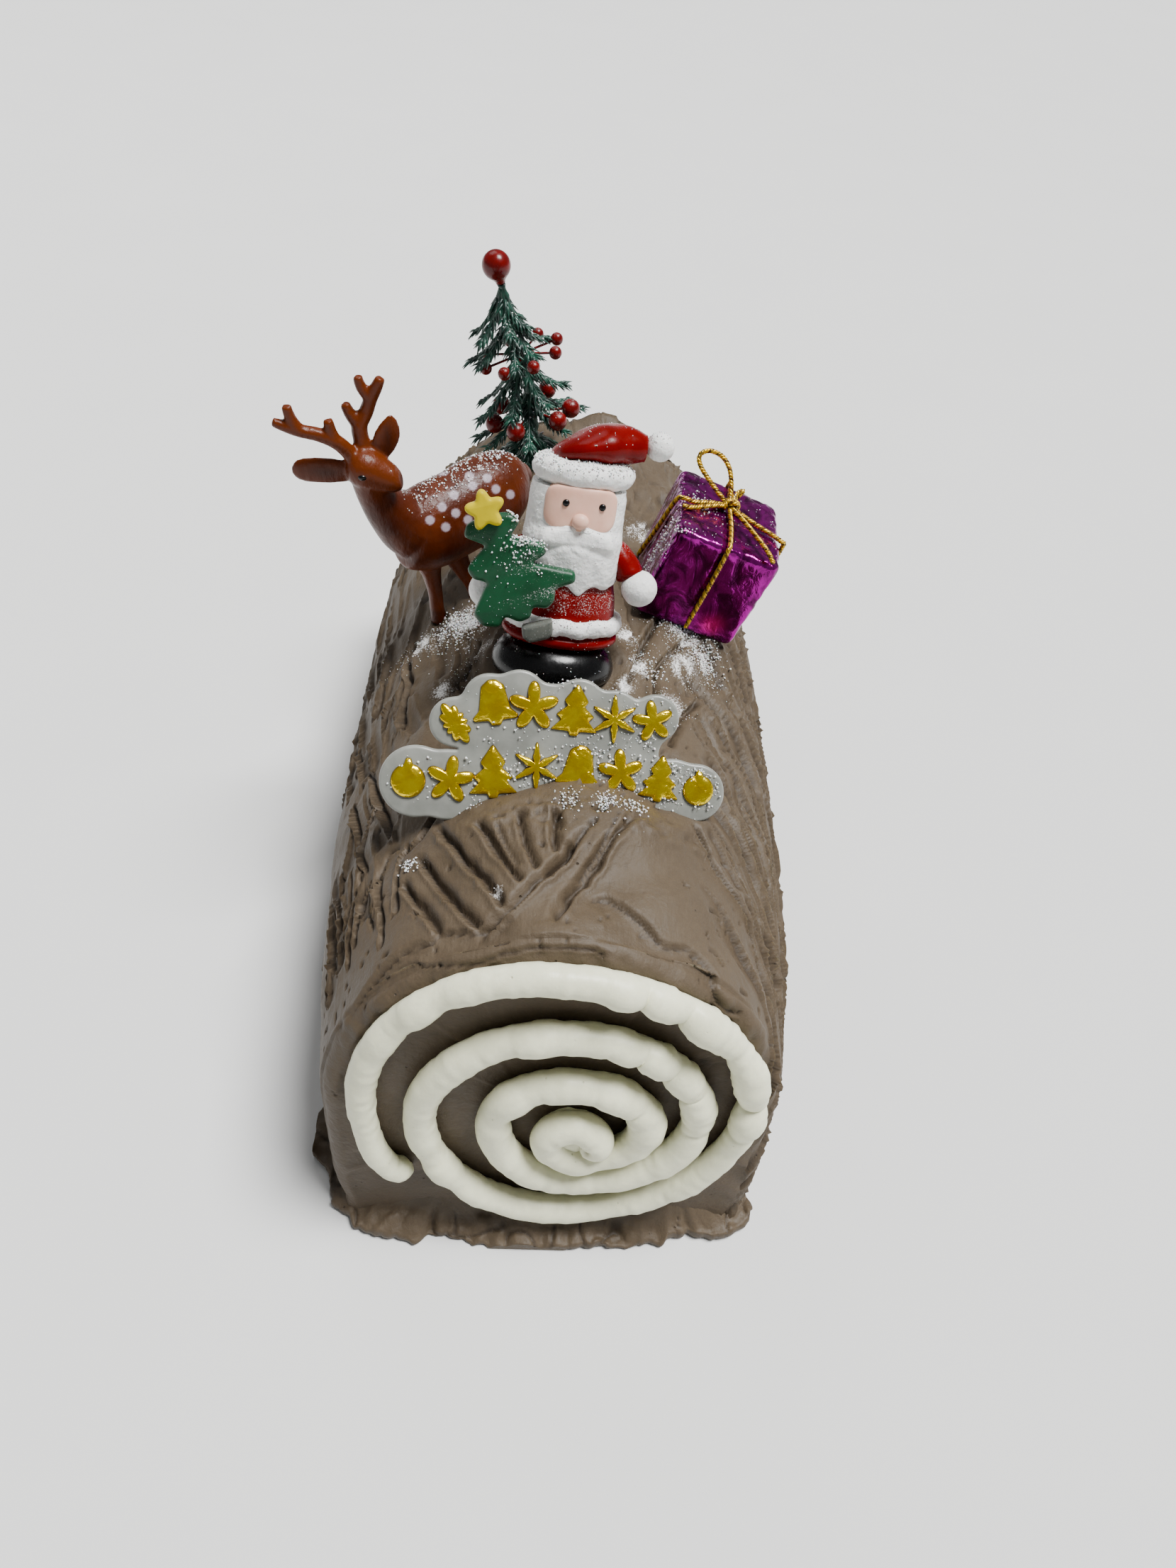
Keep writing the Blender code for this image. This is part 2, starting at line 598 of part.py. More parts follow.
def build_figure():
    """Father Christmas holding a small fir, from separate moulded pieces stacked on the boots."""
    frame = stand("figure_stand", FIGURE_BASE, FIGURE_TURN)
    boots = build_boots(frame)
    coat = build_coat(frame)
    build_trim(frame)
    head = build_head(frame)
    face = build_face(frame)
    build_brim(frame)
    build_hat(frame)
    radius = POMPOM_RADIUS
    ball("figure_pompom", (16.8, 0.0, 52.9), (radius, radius, radius), "white_plastic", frame)
    make_room(coat, head)
    make_room(head, face)
    radius = MITTEN_RADIUS
    arms = (("right", ((9.5, -1.0, 29.0), (13.0, -2.0, 26.2), (14.6, -3.0, 23.8)), (16.9, -4.0, 22.1)),
            ("left", ((-9.0, -1.0, 28.0), (-13.0, -3.0, 24.0), (-15.6, -4.6, 20.6)), (-18.2, -6.6, 18.0)))
    for side, path, hand in arms:
        arm = tube("figure_arm_" + side, path, (3.0, 3.0, 2.8), "red_plastic", frame)
        mitten = ball("figure_mitten_" + side, hand, (radius, radius, radius), "white_plastic", frame)
        for neighbour in (head, coat, mitten):
            make_room(arm, neighbour)
    flat_shape("figure_fir", fir_outline(), 3.4, "green_plastic", frame, (-7.6, -13.4, 15.6), -25.0)
    flat_shape("figure_fir_star", star_outline(5, 3.9, 2.5), 2.4, "yellow_plastic", frame,
               (-18.9, -16.6, 36.9), -20.0)
    trunk = [(-3.4, 0.0), (3.6, 0.0), (3.0, -3.4), (1.8, -4.2), (-2.6, -4.2), (-3.8, -2.6)]
    flat_shape("figure_fir_trunk", trunk, 3.0, "grey_plastic", frame, (-5.8, -13.3, 14.2), -20.0)
    return boots


# ---------------------------------------------------------------- the reindeer

def build_deer():
    """A standing reindeer that looks back to the right, moulded in one piece."""
    wide, tall = DEER_BODY_RADIUS
    barrel = (((-41.5, 7.0, 115.5), 0.5), ((-39.5, 8.5, 115.0), 0.82), ((-35.5, 12.0, 114.8), 0.95),
              ((-30.0, 16.5, 115.4), 0.98), ((-24.5, 21.5, 116.6), 1.0), ((-19.5, 26.0, 116.2), 0.92),
              ((-16.5, 29.0, 114.6), 0.6))
    along = Vector((0.74, 0.67, 0.0))
    side = Vector((-0.67, 0.74, 0.0))
    rings = []
    for centre, size in barrel:
        ring = []
        for i in range(10):
            turn = 2.0 * pi * i / 10
            ring.append((Vector(centre) + side * wide * size * cos(turn)
                         + Vector((0.0, 0.0, tall * size * sin(turn)))) * MM)
        rings.append(ring)
    start = (Vector(barrel[0][0]) - along * 2.0) * MM
    end = (Vector(barrel[-1][0]) + along * 1.6) * MM
    body = loft("reindeer", rings, start, end, "deer_plastic")
    limbs = [
        (((-39.0, 9.5, 116.0), (-43.6, 6.6, 121.0), (-46.4, 4.6, 127.5), (-47.6, 3.4, 133.0)),
         (8.2, 5.8, 4.4, 4.0)),                                                       # neck
        (((-51.0, 3.0, 136.0), (-48.6, 2.6, 135.6), (-44.8, 2.4, 133.8), (-40.9, 2.2, 133.0)),
         (3.2, 4.4, 3.3, 1.9)),                                                       # head
        (((-50.6, 2.4, 134.2), (-55.0, 2.2, 134.2), (-60.0, 2.0, 134.0), (-63.4, 2.0, 133.8)),
         (1.2, 2.0, 1.9, 0.7)),                                                       # near ear
        (((-45.6, 4.4, 137.0), (-43.9, 5.0, 140.0), (-42.7, 5.6, 143.6), (-42.4, 5.8, 146.2)),
         (1.2, 2.0, 1.9, 0.7)),                                                       # far ear
        (((-50.6, 2.4, 137.0), (-53.8, 1.2, 142.6), (-61.3, 0.0, 145.4), (-67.0, -0.8, 147.8)),
         (1.4, 1.3, 1.1, 0.8)),                                                       # near antler
        (((-53.8, 1.2, 142.6), (-54.1, 1.0, 145.6)), (1.0, 0.8)),
        (((-61.3, 0.0, 145.4), (-62.2, 0.0, 149.5)), (1.0, 0.8)),
        (((-48.4, 4.0, 138.6), (-49.1, 5.0, 144.6), (-46.9, 6.0, 148.4), (-45.7, 6.0, 152.4),
          (-44.2, 6.0, 156.2)), (1.4, 1.4, 1.2, 1.1, 0.8)),                           # far antler
        (((-49.1, 5.0, 144.6), (-51.0, 5.0, 148.0)), (1.0, 0.8)),
        (((-45.7, 6.0, 152.4), (-47.5, 6.0, 155.9)), (1.0, 0.8)),
        (((-36.8, 10.5, 110.0), (-35.7, 11.6, 102.0), (-34.9, 12.0, 93.5), (-34.3, 12.0, 85.0)),
         (4.6, 2.3, 1.8, 1.9)),                                                       # front leg, near
        (((-33.5, 16.0, 110.0), (-29.4, 17.0, 101.0), (-26.0, 17.0, 94.0), (-24.6, 17.0, 88.0)),
         (4.6, 2.6, 1.8, 1.9)),                                                       # front leg, far
        (((-22.0, 21.0, 111.0), (-19.4, 21.5, 101.0), (-18.6, 22.5, 95.0), (-18.6, 22.0, 89.0)),
         (4.8, 2.6, 1.8, 1.9)),                                                       # hind leg, near
        (((-22.5, 28.0, 111.0), (-20.5, 31.5, 101.0), (-20.0, 33.5, 95.0), (-20.5, 33.0, 88.0)),
         (4.8, 2.6, 1.8, 1.9)),                                                       # hind leg, far
        (((-17.0, 29.5, 119.0), (-13.6, 32.6, 117.4), (-12.6, 33.6, 114.6)), (2.2, 1.9, 0.8)),
    ]
    pieces = [tube("limb", points, radii, "deer_plastic", None, 1 if max(radii) > 1.5 else 0)
              for points, radii in limbs]
    return combine(body, pieces)


# ---------------------------------------------------------------- the fir topper

def fir_stem(z):
    """The stem's middle at height z: upright low down, leaning more and more to the left above."""
    rise = max(0.0, z - 103.0)
    return Vector((-12.0 - 0.16 * rise - 0.0024 * rise * rise, FIR_Y, z))


def build_fir():
    """Drooping tiers of sprigs on one stem: star-shaped rings that step in and out."""
    steps = [(86.0, 1.9, 0.0), (99.0, 1.7, 0.0)]
    for tip, top, reach in FIR_TIERS:
        steps += [(top - 5.0, 1.6, 0.0), (tip, reach, 1.0), (tip + 1.4, reach, 1.0), (top, 1.7, 0.0)]
    steps.append((143.4, 1.3, 0.0))
    rings = []
    for z, reach, lobed in steps:
        centre = fir_stem(z)
        ring = []
        for i in range(FIR_LOBES * 2):
            turn = pi * i / FIR_LOBES
            inner = lobed * (i % 2)
            out = reach * (1.0 - 0.45 * inner)
            rise = 3.0 * inner + FIR_TILT * out * cos(turn) * lobed
            ring.append((centre + Vector((out * cos(turn), out * sin(turn), rise))) * MM)
        rings.append(ring)
    start = fir_stem(steps[0][0]) * MM
    end = fir_stem(steps[-1][0] + 0.2) * MM
    body = loft("fir_sprigs", rings, start, end, "fir_plastic")
    roots = []
    for turn in (160.0, 215.0, 280.0, 330.0, 50.0):
        foot = Vector((-12.0 + 8.0 * cos(radians(turn)), FIR_Y + 8.0 * sin(radians(turn)), 93.0))
        roots.append(tube("root", (fir_stem(97.5), foot), (1.2, 1.0), "fir_plastic", None, 0))
    return combine(body, roots)


def berry_ring(name, height, reach, radius, turns, tilt):
    """A red ring threaded on the stem: a hub, and an arm that swells into a ball for each berry."""
    centre = fir_stem(height)
    hub_radius = 2.9
    arms = []
    for turn in turns:
        way = Vector((cos(radians(turn)), -sin(radians(turn)), cos(radians(turn)) * tilt))
        stops = ((hub_radius * 0.93, 0.5), (reach - 0.95 * radius, 0.5), (reach - 0.6 * radius, 0.8 * radius),
                 (reach, radius), (reach + 0.6 * radius, 0.8 * radius), (reach + 0.97 * radius, 0.25 * radius))
        path = [centre + way * distance for distance, thickness in stops]
        arms.append(tube("arm", path, [thickness for distance, thickness in stops], "red_plastic"))
    return combine(hub_ring(name, centre, hub_radius, 0.7, tilt), arms)


def hub_ring(name, centre, radius, thickness, tilt):
    """A thin ring round the stem, its right side raised by the tilt."""
    rows = 9
    sides = 4
    model = bmesh.new()
    grid = []
    for i in range(rows):
        turn = 2.0 * pi * i / rows
        row = []
        for j in range(sides):
            roll = 2.0 * pi * j / sides
            out = radius + thickness * cos(roll)
            rise = thickness * sin(roll) + tilt * out * cos(turn)
            point = centre + Vector((out * cos(turn), out * sin(turn), rise))
            row.append(model.verts.new(point * MM))
        grid.append(row)
    for i in range(rows):
        a, b = grid[i], grid[(i + 1) % rows]
        for j in range(sides):
            k = (j + 1) % sides
            model.faces.new((a[j], b[j], b[k], a[k]))
    bmesh.ops.triangulate(model, faces=model.faces)
    outward(model)
    mesh = bpy.data.meshes.new(name)
    model.to_mesh(mesh)
    model.free()
    return place_mesh(mesh, name, "red_plastic")


def build_top_ball():
    """A drop-shaped red ball whose neck sits on the stem's end: a turned profile."""
    radius = TOP_BALL_RADIUS
    centre = Vector((-23.8, FIR_Y, 148.5))
    profile = [(0.0, radius)]
    for i in range(1, 9):
        turn = pi * i / 11.0
        profile.append((radius * sin(turn), radius * cos(turn)))
    profile += [(1.3, -1.12 * radius), (1.3, -1.2 * radius), (0.0, -1.2 * radius)]
    mesh = bpy.data.meshes.new("fir_top_ball")
    points = [(x * MM, 0.0, z * MM) for x, z in profile]
    mesh.from_pydata(points, [(i, i + 1) for i in range(len(points) - 1)], [])
    item = place_mesh(mesh, "fir_top_ball", "red_plastic")
    item.location = centre * MM
    item.rotation_euler = Euler((0.0, radians(-15.0), 0.0), "XYZ")
    turned = item.modifiers.new("turned", "SCREW")
    turned.steps = 10
    turned.render_steps = 10
    turned.use_merge_vertices = True
    turned.merge_threshold = 0.05 * MM
    return item


# ---------------------------------------------------------------- the parcel

def build_parcel():
    """A foil-wrapped cube tied with a gold cord that ends in a loop and a tail."""
    frame = stand("parcel_stand", PARCEL_CENTRE, PARCEL_TURN)
    model = bmesh.new()
    bmesh.ops.create_cube(model, size=PARCEL_SIZE * MM)
    bmesh.ops.bevel(model, geom=model.edges[:], offset=0.8 * MM, segments=1, affect="EDGES")
    mesh = bpy.data.meshes.new("parcel")
    model.to_mesh(mesh)
    model.free()
    parcel = place_mesh(mesh, "parcel", "purple_foil", frame)
    half = PARCEL_SIZE * 0.5
    rise = half + CORD_RADIUS + 0.35
    knot = (-1.2, 2.2, rise + 0.2)
    runs = (
        (knot, (-0.4, -5.0, rise), (-0.6, -half, rise), (-0.6, -rise, half - 1.4), (0.4, -rise, -8.0)),
        (knot, (5.0, 0.2, rise), (half, -3.0, rise), (rise, -3.2, half - 1.4), (rise, -2.4, 1.0 - half)),
        (knot, (-6.0, 0.6, rise + 0.5), (-10.4, -1.4, rise), (-half, -1.6, rise),
         (-rise, -1.0, half - 1.6), (-rise, 6.4, -8.0)),
        (knot, (-0.8, 8.0, rise), (-0.4, half, rise), (-0.4, rise, half - 1.4), (0.4, rise, -8.0)),
        (knot, (-2.2, 4.9, rise + 3.6), (-4.4, 7.2, rise + 6.9), (-7.4, 8.7, rise + 8.5),
         (-10.7, 9.1, rise + 8.3), (-12.5, 8.2, rise + 6.7), (-11.0, 6.8, rise + 4.6),
         (-6.0, 4.4, rise + 2.2), (-2.6, 2.8, rise + 0.9)),
        (knot, (2.2, -3.6, rise + 1.6), (8.2, -11.4, rise + 1.5), (10.6, -15.2, rise + 0.8)),
        (knot, (0.2, 4.4, rise + 2.4), (0.9, 5.2, rise + 4.0), (-0.4, 4.2, rise + 3.4)),
    )
    pieces = [tube("run", run, (CORD_RADIUS,) * len(run), "gold_cord", frame, 0) for run in runs]
    tie = ball("parcel_cord", knot, (1.9, 1.7, 1.0), "gold_cord", frame, 8, 6)
    combine(tie, pieces)
    return parcel


# ---------------------------------------------------------------- the whole cake

clear_scene()
CAKE = make_collection("yule_log_cake")
CUTTERS = make_collection("cutters")
FINISHES = {name: make_material(name) for name in COLOURS}

log_body = build_log()
build_spiral("front_spiral", FRONT_Y, FRONT_LEAN, -1.0, 1.0, 4)
build_spiral("back_spiral", BACK_Y, BACK_LEAN, 1.0, BACK_ROPE_SIZE, 3)
plaque = build_plaque()
figure_boots = build_figure()
deer = build_deer()
fir = build_fir()
berry_ring("fir_berries", 124.7, 10.4, BERRY_RADIUS, [24.0 + 45.0 * i for i in range(8)], 0.32)
berry_ring("fir_baubles", 107.8, 11.4, BAUBLE_RADIUS, (16, 50, 113, 162, 215, 290), 0.28)
build_top_ball()
parcel = build_parcel()
make_room(log_body, plaque, 0.4 * MM)
for topper in (figure_boots, deer, fir, parcel):
    make_room(log_body, topper)
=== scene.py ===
"""Looks of a yule log cake: a buttercream log with piped spirals and Christmas toppers.

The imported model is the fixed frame. The lengths below are millimetres in that frame: the log lies along Y
on its flat underside, its front face towards -Y and its top towards +Z. Meshes are written in metres.
"""

import logging
from abc import ABC, abstractmethod
from collections.abc import Callable, Sequence
from dataclasses import dataclass, field
from enum import Enum
from itertools import product
from math import cos, pi, radians, sin, sqrt

import bpy
import numpy as np
from mathutils import Euler, Matrix, Vector
from mathutils.geometry import tessellate_polygon


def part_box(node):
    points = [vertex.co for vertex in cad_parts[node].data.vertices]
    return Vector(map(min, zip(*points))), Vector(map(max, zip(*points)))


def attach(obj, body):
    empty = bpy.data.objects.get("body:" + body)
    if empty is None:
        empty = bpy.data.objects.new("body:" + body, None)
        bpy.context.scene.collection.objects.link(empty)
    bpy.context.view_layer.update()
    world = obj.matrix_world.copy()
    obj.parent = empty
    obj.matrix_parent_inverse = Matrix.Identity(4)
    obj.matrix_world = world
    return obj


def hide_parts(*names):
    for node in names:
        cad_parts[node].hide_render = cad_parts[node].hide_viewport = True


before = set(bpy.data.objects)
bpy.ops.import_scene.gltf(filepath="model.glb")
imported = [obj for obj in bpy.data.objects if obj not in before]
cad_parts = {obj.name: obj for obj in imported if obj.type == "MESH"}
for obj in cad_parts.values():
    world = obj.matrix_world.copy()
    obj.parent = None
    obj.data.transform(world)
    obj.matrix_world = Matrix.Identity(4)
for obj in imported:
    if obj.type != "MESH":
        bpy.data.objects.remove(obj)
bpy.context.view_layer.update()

MM = 0.001
Array = np.ndarray
Point = tuple[float, float, float]
REPORT = logging.getLogger("yule_log_cake")


# ---------------------------------------------------------------- arrays

def step(value: Array, low: float, high: float) -> Array:
    """A soft step from 0 at low to 1 at high: three t squared less two t cubed between them."""
    t = np.clip((value - low) / (high - low), 0.0, 1.0)
    return t * t * (3.0 - 2.0 * t)


def bump(distance: Array, width: float) -> Array:
    """A rounded bump: e to the power of minus the square of distance over width."""
    return np.exp(-(distance / width) ** 2)


def noise(seed: int, *coordinates: Array) -> Array:
    """Smooth value noise between -1 and 1.

    Random values stand on a lattice of whole numbers and are mixed between its corners by a quintic step.

    Args:
        seed: Which lattice is drawn.
        coordinates: One array for each dimension, in lattice cells.

    Returns:
        The noise at each place.
    """
    table = np.random.default_rng(seed).uniform(-1.0, 1.0, (32,) * len(coordinates))
    cells = [np.floor(values).astype(int) for values in coordinates]
    parts = [values - cell for values, cell in zip(coordinates, cells)]
    parts = [t * t * t * (t * (6.0 * t - 15.0) + 10.0) for t in parts]
    total = np.zeros(np.broadcast(*coordinates).shape)
    for corner in product((0, 1), repeat=len(coordinates)):
        weight = np.ones_like(total)
        for part, bit in zip(parts, corner):
            weight = weight * (part if bit else 1.0 - part)
        total += weight * table[tuple((cell + bit) % 32 for cell, bit in zip(cells, corner))]
    return total


def through(points: Sequence | Array, count: int) -> Array:
    """Catmull-Rom curves through rows of points, read at even steps of the parameter.

    Args:
        points: The points, (..., points, values).
        count: How many places are read along each curve.

    Returns:
        The places, (..., count, values).
    """
    points = np.asarray(points, float)
    first = 2.0 * points[..., :1, :] - points[..., 1:2, :]
    last = 2.0 * points[..., -1:, :] - points[..., -2:-1, :]
    padded = np.concatenate([first, points, last], axis=-2)
    place = np.linspace(0.0, points.shape[-2] - 1.0, count)
    cell = np.minimum(place.astype(int), points.shape[-2] - 2)
    t = (place - cell)[:, None]
    p0, p1, p2, p3 = (padded[..., cell + k, :] for k in range(4))
    curve = 2.0 * p1 + (p2 - p0) * t + (2.0 * p0 - 5.0 * p1 + 4.0 * p2 - p3) * t ** 2
    return 0.5 * (curve + (3.0 * p1 - p0 - 3.0 * p2 + p3) * t ** 3)


def evened(line: Array, count: int, closed: bool = False) -> Array:
    """The same line with its points spaced evenly along its length."""
    whole = np.concatenate([line, line[:1]]) if closed else line
    run = np.concatenate([[0.0], np.cumsum(np.linalg.norm(np.diff(whole, axis=0), axis=1))])
    places = np.linspace(0.0, run[-1], count, endpoint=not closed)
    return np.stack([np.interp(places, run, column) for column in whole.T], axis=1)


def softened(outline: Array, count: int, rounds: int) -> Array:
    """A closed outline with even points, each averaged with its neighbours so that corners turn round."""
    line = evened(np.asarray(outline, float), count, closed=True)
    for _ in range(rounds):
        line = 0.5 * line + 0.25 * (np.roll(line, 1, axis=0) + np.roll(line, -1, axis=0))
    return line


@dataclass(frozen=True)
class Stand:
    """The frame that a topper is modelled in: its place in millimetres and its turn in degrees."""
    place: Point
    turn: Point = (0.0, 0.0, 0.0)

    def rotation(self) -> Array:
        """The turn about X, then Y, then Z, as a matrix."""
        return np.array(Euler([radians(angle) for angle in self.turn], "XYZ").to_matrix())

    def carry(self, points: Array) -> Array:
        """Points from the topper's frame to the cake's."""
        return points @ self.rotation().T + np.array(self.place)


@dataclass
class Shape:
    """Points and faces of a mesh in millimetres, with values that its finish reads."""
    points: Array
    quads: Array
    tris: Array
    marks: dict[str, Array] = field(default_factory=dict)

    @classmethod
    def lattice(cls, grid: Array, wrap: tuple[bool, bool] = (False, True), poles: bool = True) -> "Shape":
        """Faces over a grid of points, or over a batch of grids.

        Each cell is one quad. With poles, the first and the last row close on their own middle points.

        Args:
            grid: Points, (rows, columns, 3) or (grids, rows, columns, 3).
            wrap: Whether the rows and the columns run round.
            poles: Whether the ends of the rows are closed.

        Returns:
            The shape, facing out if it is closed.
        """
        grid = grid if grid.ndim == 4 else grid[None]
        count, rows, columns, _ = grid.shape
        index = np.arange(count * rows * columns).reshape(count, rows, columns)
        right = np.roll(index, -1, axis=2)
        up, across = np.roll(index, -1, axis=1), np.roll(right, -1, axis=1)
        quads = np.stack([index, right, across, up], axis=-1)
        quads = quads[:, :rows - (not wrap[0]), :columns - (not wrap[1])].reshape(-1, 4)
        points, tris = grid.reshape(-1, 3), np.zeros((0, 3), int)
        if poles:
            low = np.broadcast_to((index.size + np.arange(count))[:, None], (count, columns))
            first = np.stack([right[:, 0], index[:, 0], low], axis=-1)
            last = np.stack([index[:, -1], right[:, -1], low + count], axis=-1)
            tris = np.concatenate([first.reshape(-1, 3), last.reshape(-1, 3)])
            points = np.concatenate([points, grid[:, 0].mean(axis=1), grid[:, -1].mean(axis=1)])
        return cls(points, quads, tris).facing_out()

    @classmethod
    def joined(cls, shapes: Sequence["Shape"]) -> "Shape":
        """Several shapes as one mesh; a mark that a shape lacks is 0 on it."""
        starts = np.cumsum([0] + [len(shape.points) for shape in shapes])
        names = {name for shape in shapes for name in shape.marks}
        marks = {name: np.concatenate([shape.marks.get(name, np.zeros(len(shape.points)))
                                       for shape in shapes]) for name in names}
        return cls(np.concatenate([shape.points for shape in shapes]),
                   np.concatenate([shape.quads + start for shape, start in zip(shapes, starts)]),
                   np.concatenate([shape.tris + start for shape, start in zip(shapes, starts)]), marks)

    def corners(self) -> Array:
        """Every face as triangles of point numbers."""
        return np.concatenate([self.quads[:, [0, 1, 2]], self.quads[:, [0, 2, 3]], self.tris])

    def facing_out(self) -> "Shape":
        """The faces turned over if the volume that they enclose comes out negative."""
        a, b, c = (self.points[self.corners()[:, k]] for k in range(3))
        if np.einsum("ij,ij->", a, np.cross(b, c)) < 0.0:
            self.quads, self.tris = self.quads[:, ::-1], self.tris[:, ::-1]
        return self

    def normals(self) -> Array:
        """The outward direction at each point: the mean of its faces' directions, weighed by area."""
        corners = self.corners()
        a, b, c = (self.points[corners[:, k]] for k in range(3))
        way = np.cross(b - a, c - a)
        total = np.stack([np.bincount(corners.ravel(), np.repeat(way[:, k], 3), len(self.points))
                          for k in range(3)], axis=1)
        return total / np.maximum(np.linalg.norm(total, axis=1, keepdims=True), 1e-9)

    def swollen(self, amount: Array) -> "Shape":
        """Each point moved out along its own direction by that many millimetres."""
        self.points = self.points + self.normals() * np.asarray(amount)[..., None]
        return self

    def crumbly(self, seed: int, size: float, depth: float) -> "Shape":
        """The surface made uneven: noise in space, size across and depth high, with half of it finer."""
        x, y, z = (self.points / size).T
        fine = noise(seed + 1, 2.3 * x, 2.3 * y, 2.3 * z)
        return self.swollen(depth * (noise(seed, x, y, z) + 0.5 * fine))

    def marked(self, name: str, values: Array | float) -> "Shape":
        """The shape with a value for its finish at each point."""
        self.marks[name] = np.broadcast_to(np.asarray(values, float), (len(self.points),)).copy()
        return self

    def carried(self, stand: Stand) -> "Shape":
        """The shape in the cake's frame."""
        self.points = stand.carry(self.points)
        return self

    def mesh(self, name: str) -> bpy.types.Mesh:
        """The shape as a smooth mesh in metres, with its marks as attributes."""
        mesh = bpy.data.meshes.new(name)
        loops = np.concatenate([self.quads.ravel(), self.tris.ravel()]).astype(np.int32)
        sizes = np.concatenate([np.full(len(self.quads), 4), np.full(len(self.tris), 3)])
        mesh.vertices.add(len(self.points))
        mesh.vertices.foreach_set("co", (self.points * MM).astype(np.float32).ravel())
        mesh.loops.add(len(loops))
        mesh.loops.foreach_set("vertex_index", loops)
        mesh.polygons.add(len(sizes))
        mesh.polygons.foreach_set("loop_start", (np.cumsum(sizes) - sizes).astype(np.int32))
        for name, values in self.marks.items():
            mark = mesh.attributes.new(name, "FLOAT", "POINT")
            mark.data.foreach_set("value", values.astype(np.float32))
        mesh.update(calc_edges=True)
        mesh.validate()
        mesh.shade_smooth()
        return mesh


def swept(paths: Array, radii: Array, sides: int, flat: float = 1.0, up: Point = (0.0, 0.0, 1.0)) -> Shape:
    """Closed tubes along paths, without twist.

    A ring's point is the path's point, plus the radius times cos a to the side and flat times sin a up.

    Args:
        paths: Stations, (stations, 3) or (tubes, stations, 3).
        radii: The radius at each station.
        sides: How many points a ring has.
        flat: The height of a ring as a part of its width.
        up: The direction that the first ring's height leans towards.

    Returns:
        The tubes, each closed by a pole at both ends.
    """
    paths = paths if paths.ndim == 3 else paths[None]
    radii = np.broadcast_to(radii, paths.shape[:2])
    tangents = np.gradient(paths, axis=1)
    tangents /= np.maximum(np.linalg.norm(tangents, axis=2, keepdims=True), 1e-9)
    lifts = np.empty_like(paths)
    lift = np.broadcast_to(np.array(up) + np.array((0.013, 0.017, 0.0)), paths[:, 0].shape)
    for i in range(paths.shape[1]):
        lift = lift - np.einsum("ij,ij->i", lift, tangents[:, i])[:, None] * tangents[:, i]
        lift = lift / np.maximum(np.linalg.norm(lift, axis=1, keepdims=True), 1e-9)
        lifts[:, i] = lift
    across = np.cross(tangents, lifts)
    turn = np.arange(sides) * 2.0 * pi / sides
    ring = np.cos(turn)[:, None] * across[:, :, None] + flat * np.sin(turn)[:, None] * lifts[:, :, None]
    return Shape.lattice(paths[:, :, None] + radii[:, :, None, None] * ring)


def blunt(count: int, sharpness: float = 8.0) -> Array:
    """Round ends for a tube's radii: the square root of 1 less |2t - 1| to a high power, t from 0 to 1."""
    t = np.linspace(0.0, 1.0, count)
    return np.sqrt(np.maximum(1.0 - np.abs(2.0 * t - 1.0) ** sharpness, 0.0)) + 0.02


def stacked(rows: Sequence | Array, sides: int, steps: int, power: float = 2.0) -> Shape:
    """A closed stack of level ovals, smooth from row to row.

    Args:
        rows: (x, y, z, half width, half depth) of each row.
        sides: Points round an oval.
        steps: Ovals in the finished stack.
        power: 2 for an ellipse, more for a squarer superellipse.

    Returns:
        The stack.
    """
    x, y, z, wide, deep = through(rows, steps)[:, :, None].transpose(1, 0, 2)
    turn = np.arange(sides) * 2.0 * pi / sides
    across = np.sign(np.cos(turn)) * np.abs(np.cos(turn)) ** (2.0 / power)
    along = np.sign(np.sin(turn)) * np.abs(np.sin(turn)) ** (2.0 / power)
    wide, deep = np.maximum(wide, 0.05), np.maximum(deep, 0.05)
    return Shape.lattice(np.stack([x + wide * across, y + deep * along, z + 0.0 * across], axis=-1))


def rounded_ball(centre: Point, radii: Point, sides: int = 32) -> Shape:
    """An ellipsoid: rings whose radius is the sine of their angle and whose height is its cosine."""
    turn = np.linspace(0.06, pi - 0.06, sides // 2)[:, None]
    around = np.arange(sides) * 2.0 * pi / sides
    unit = np.stack([np.sin(turn) * np.cos(around), np.sin(turn) * np.sin(around),
                     np.cos(turn) + 0.0 * around], axis=-1)
    return Shape.lattice(np.array(centre) + np.array(radii) * unit)


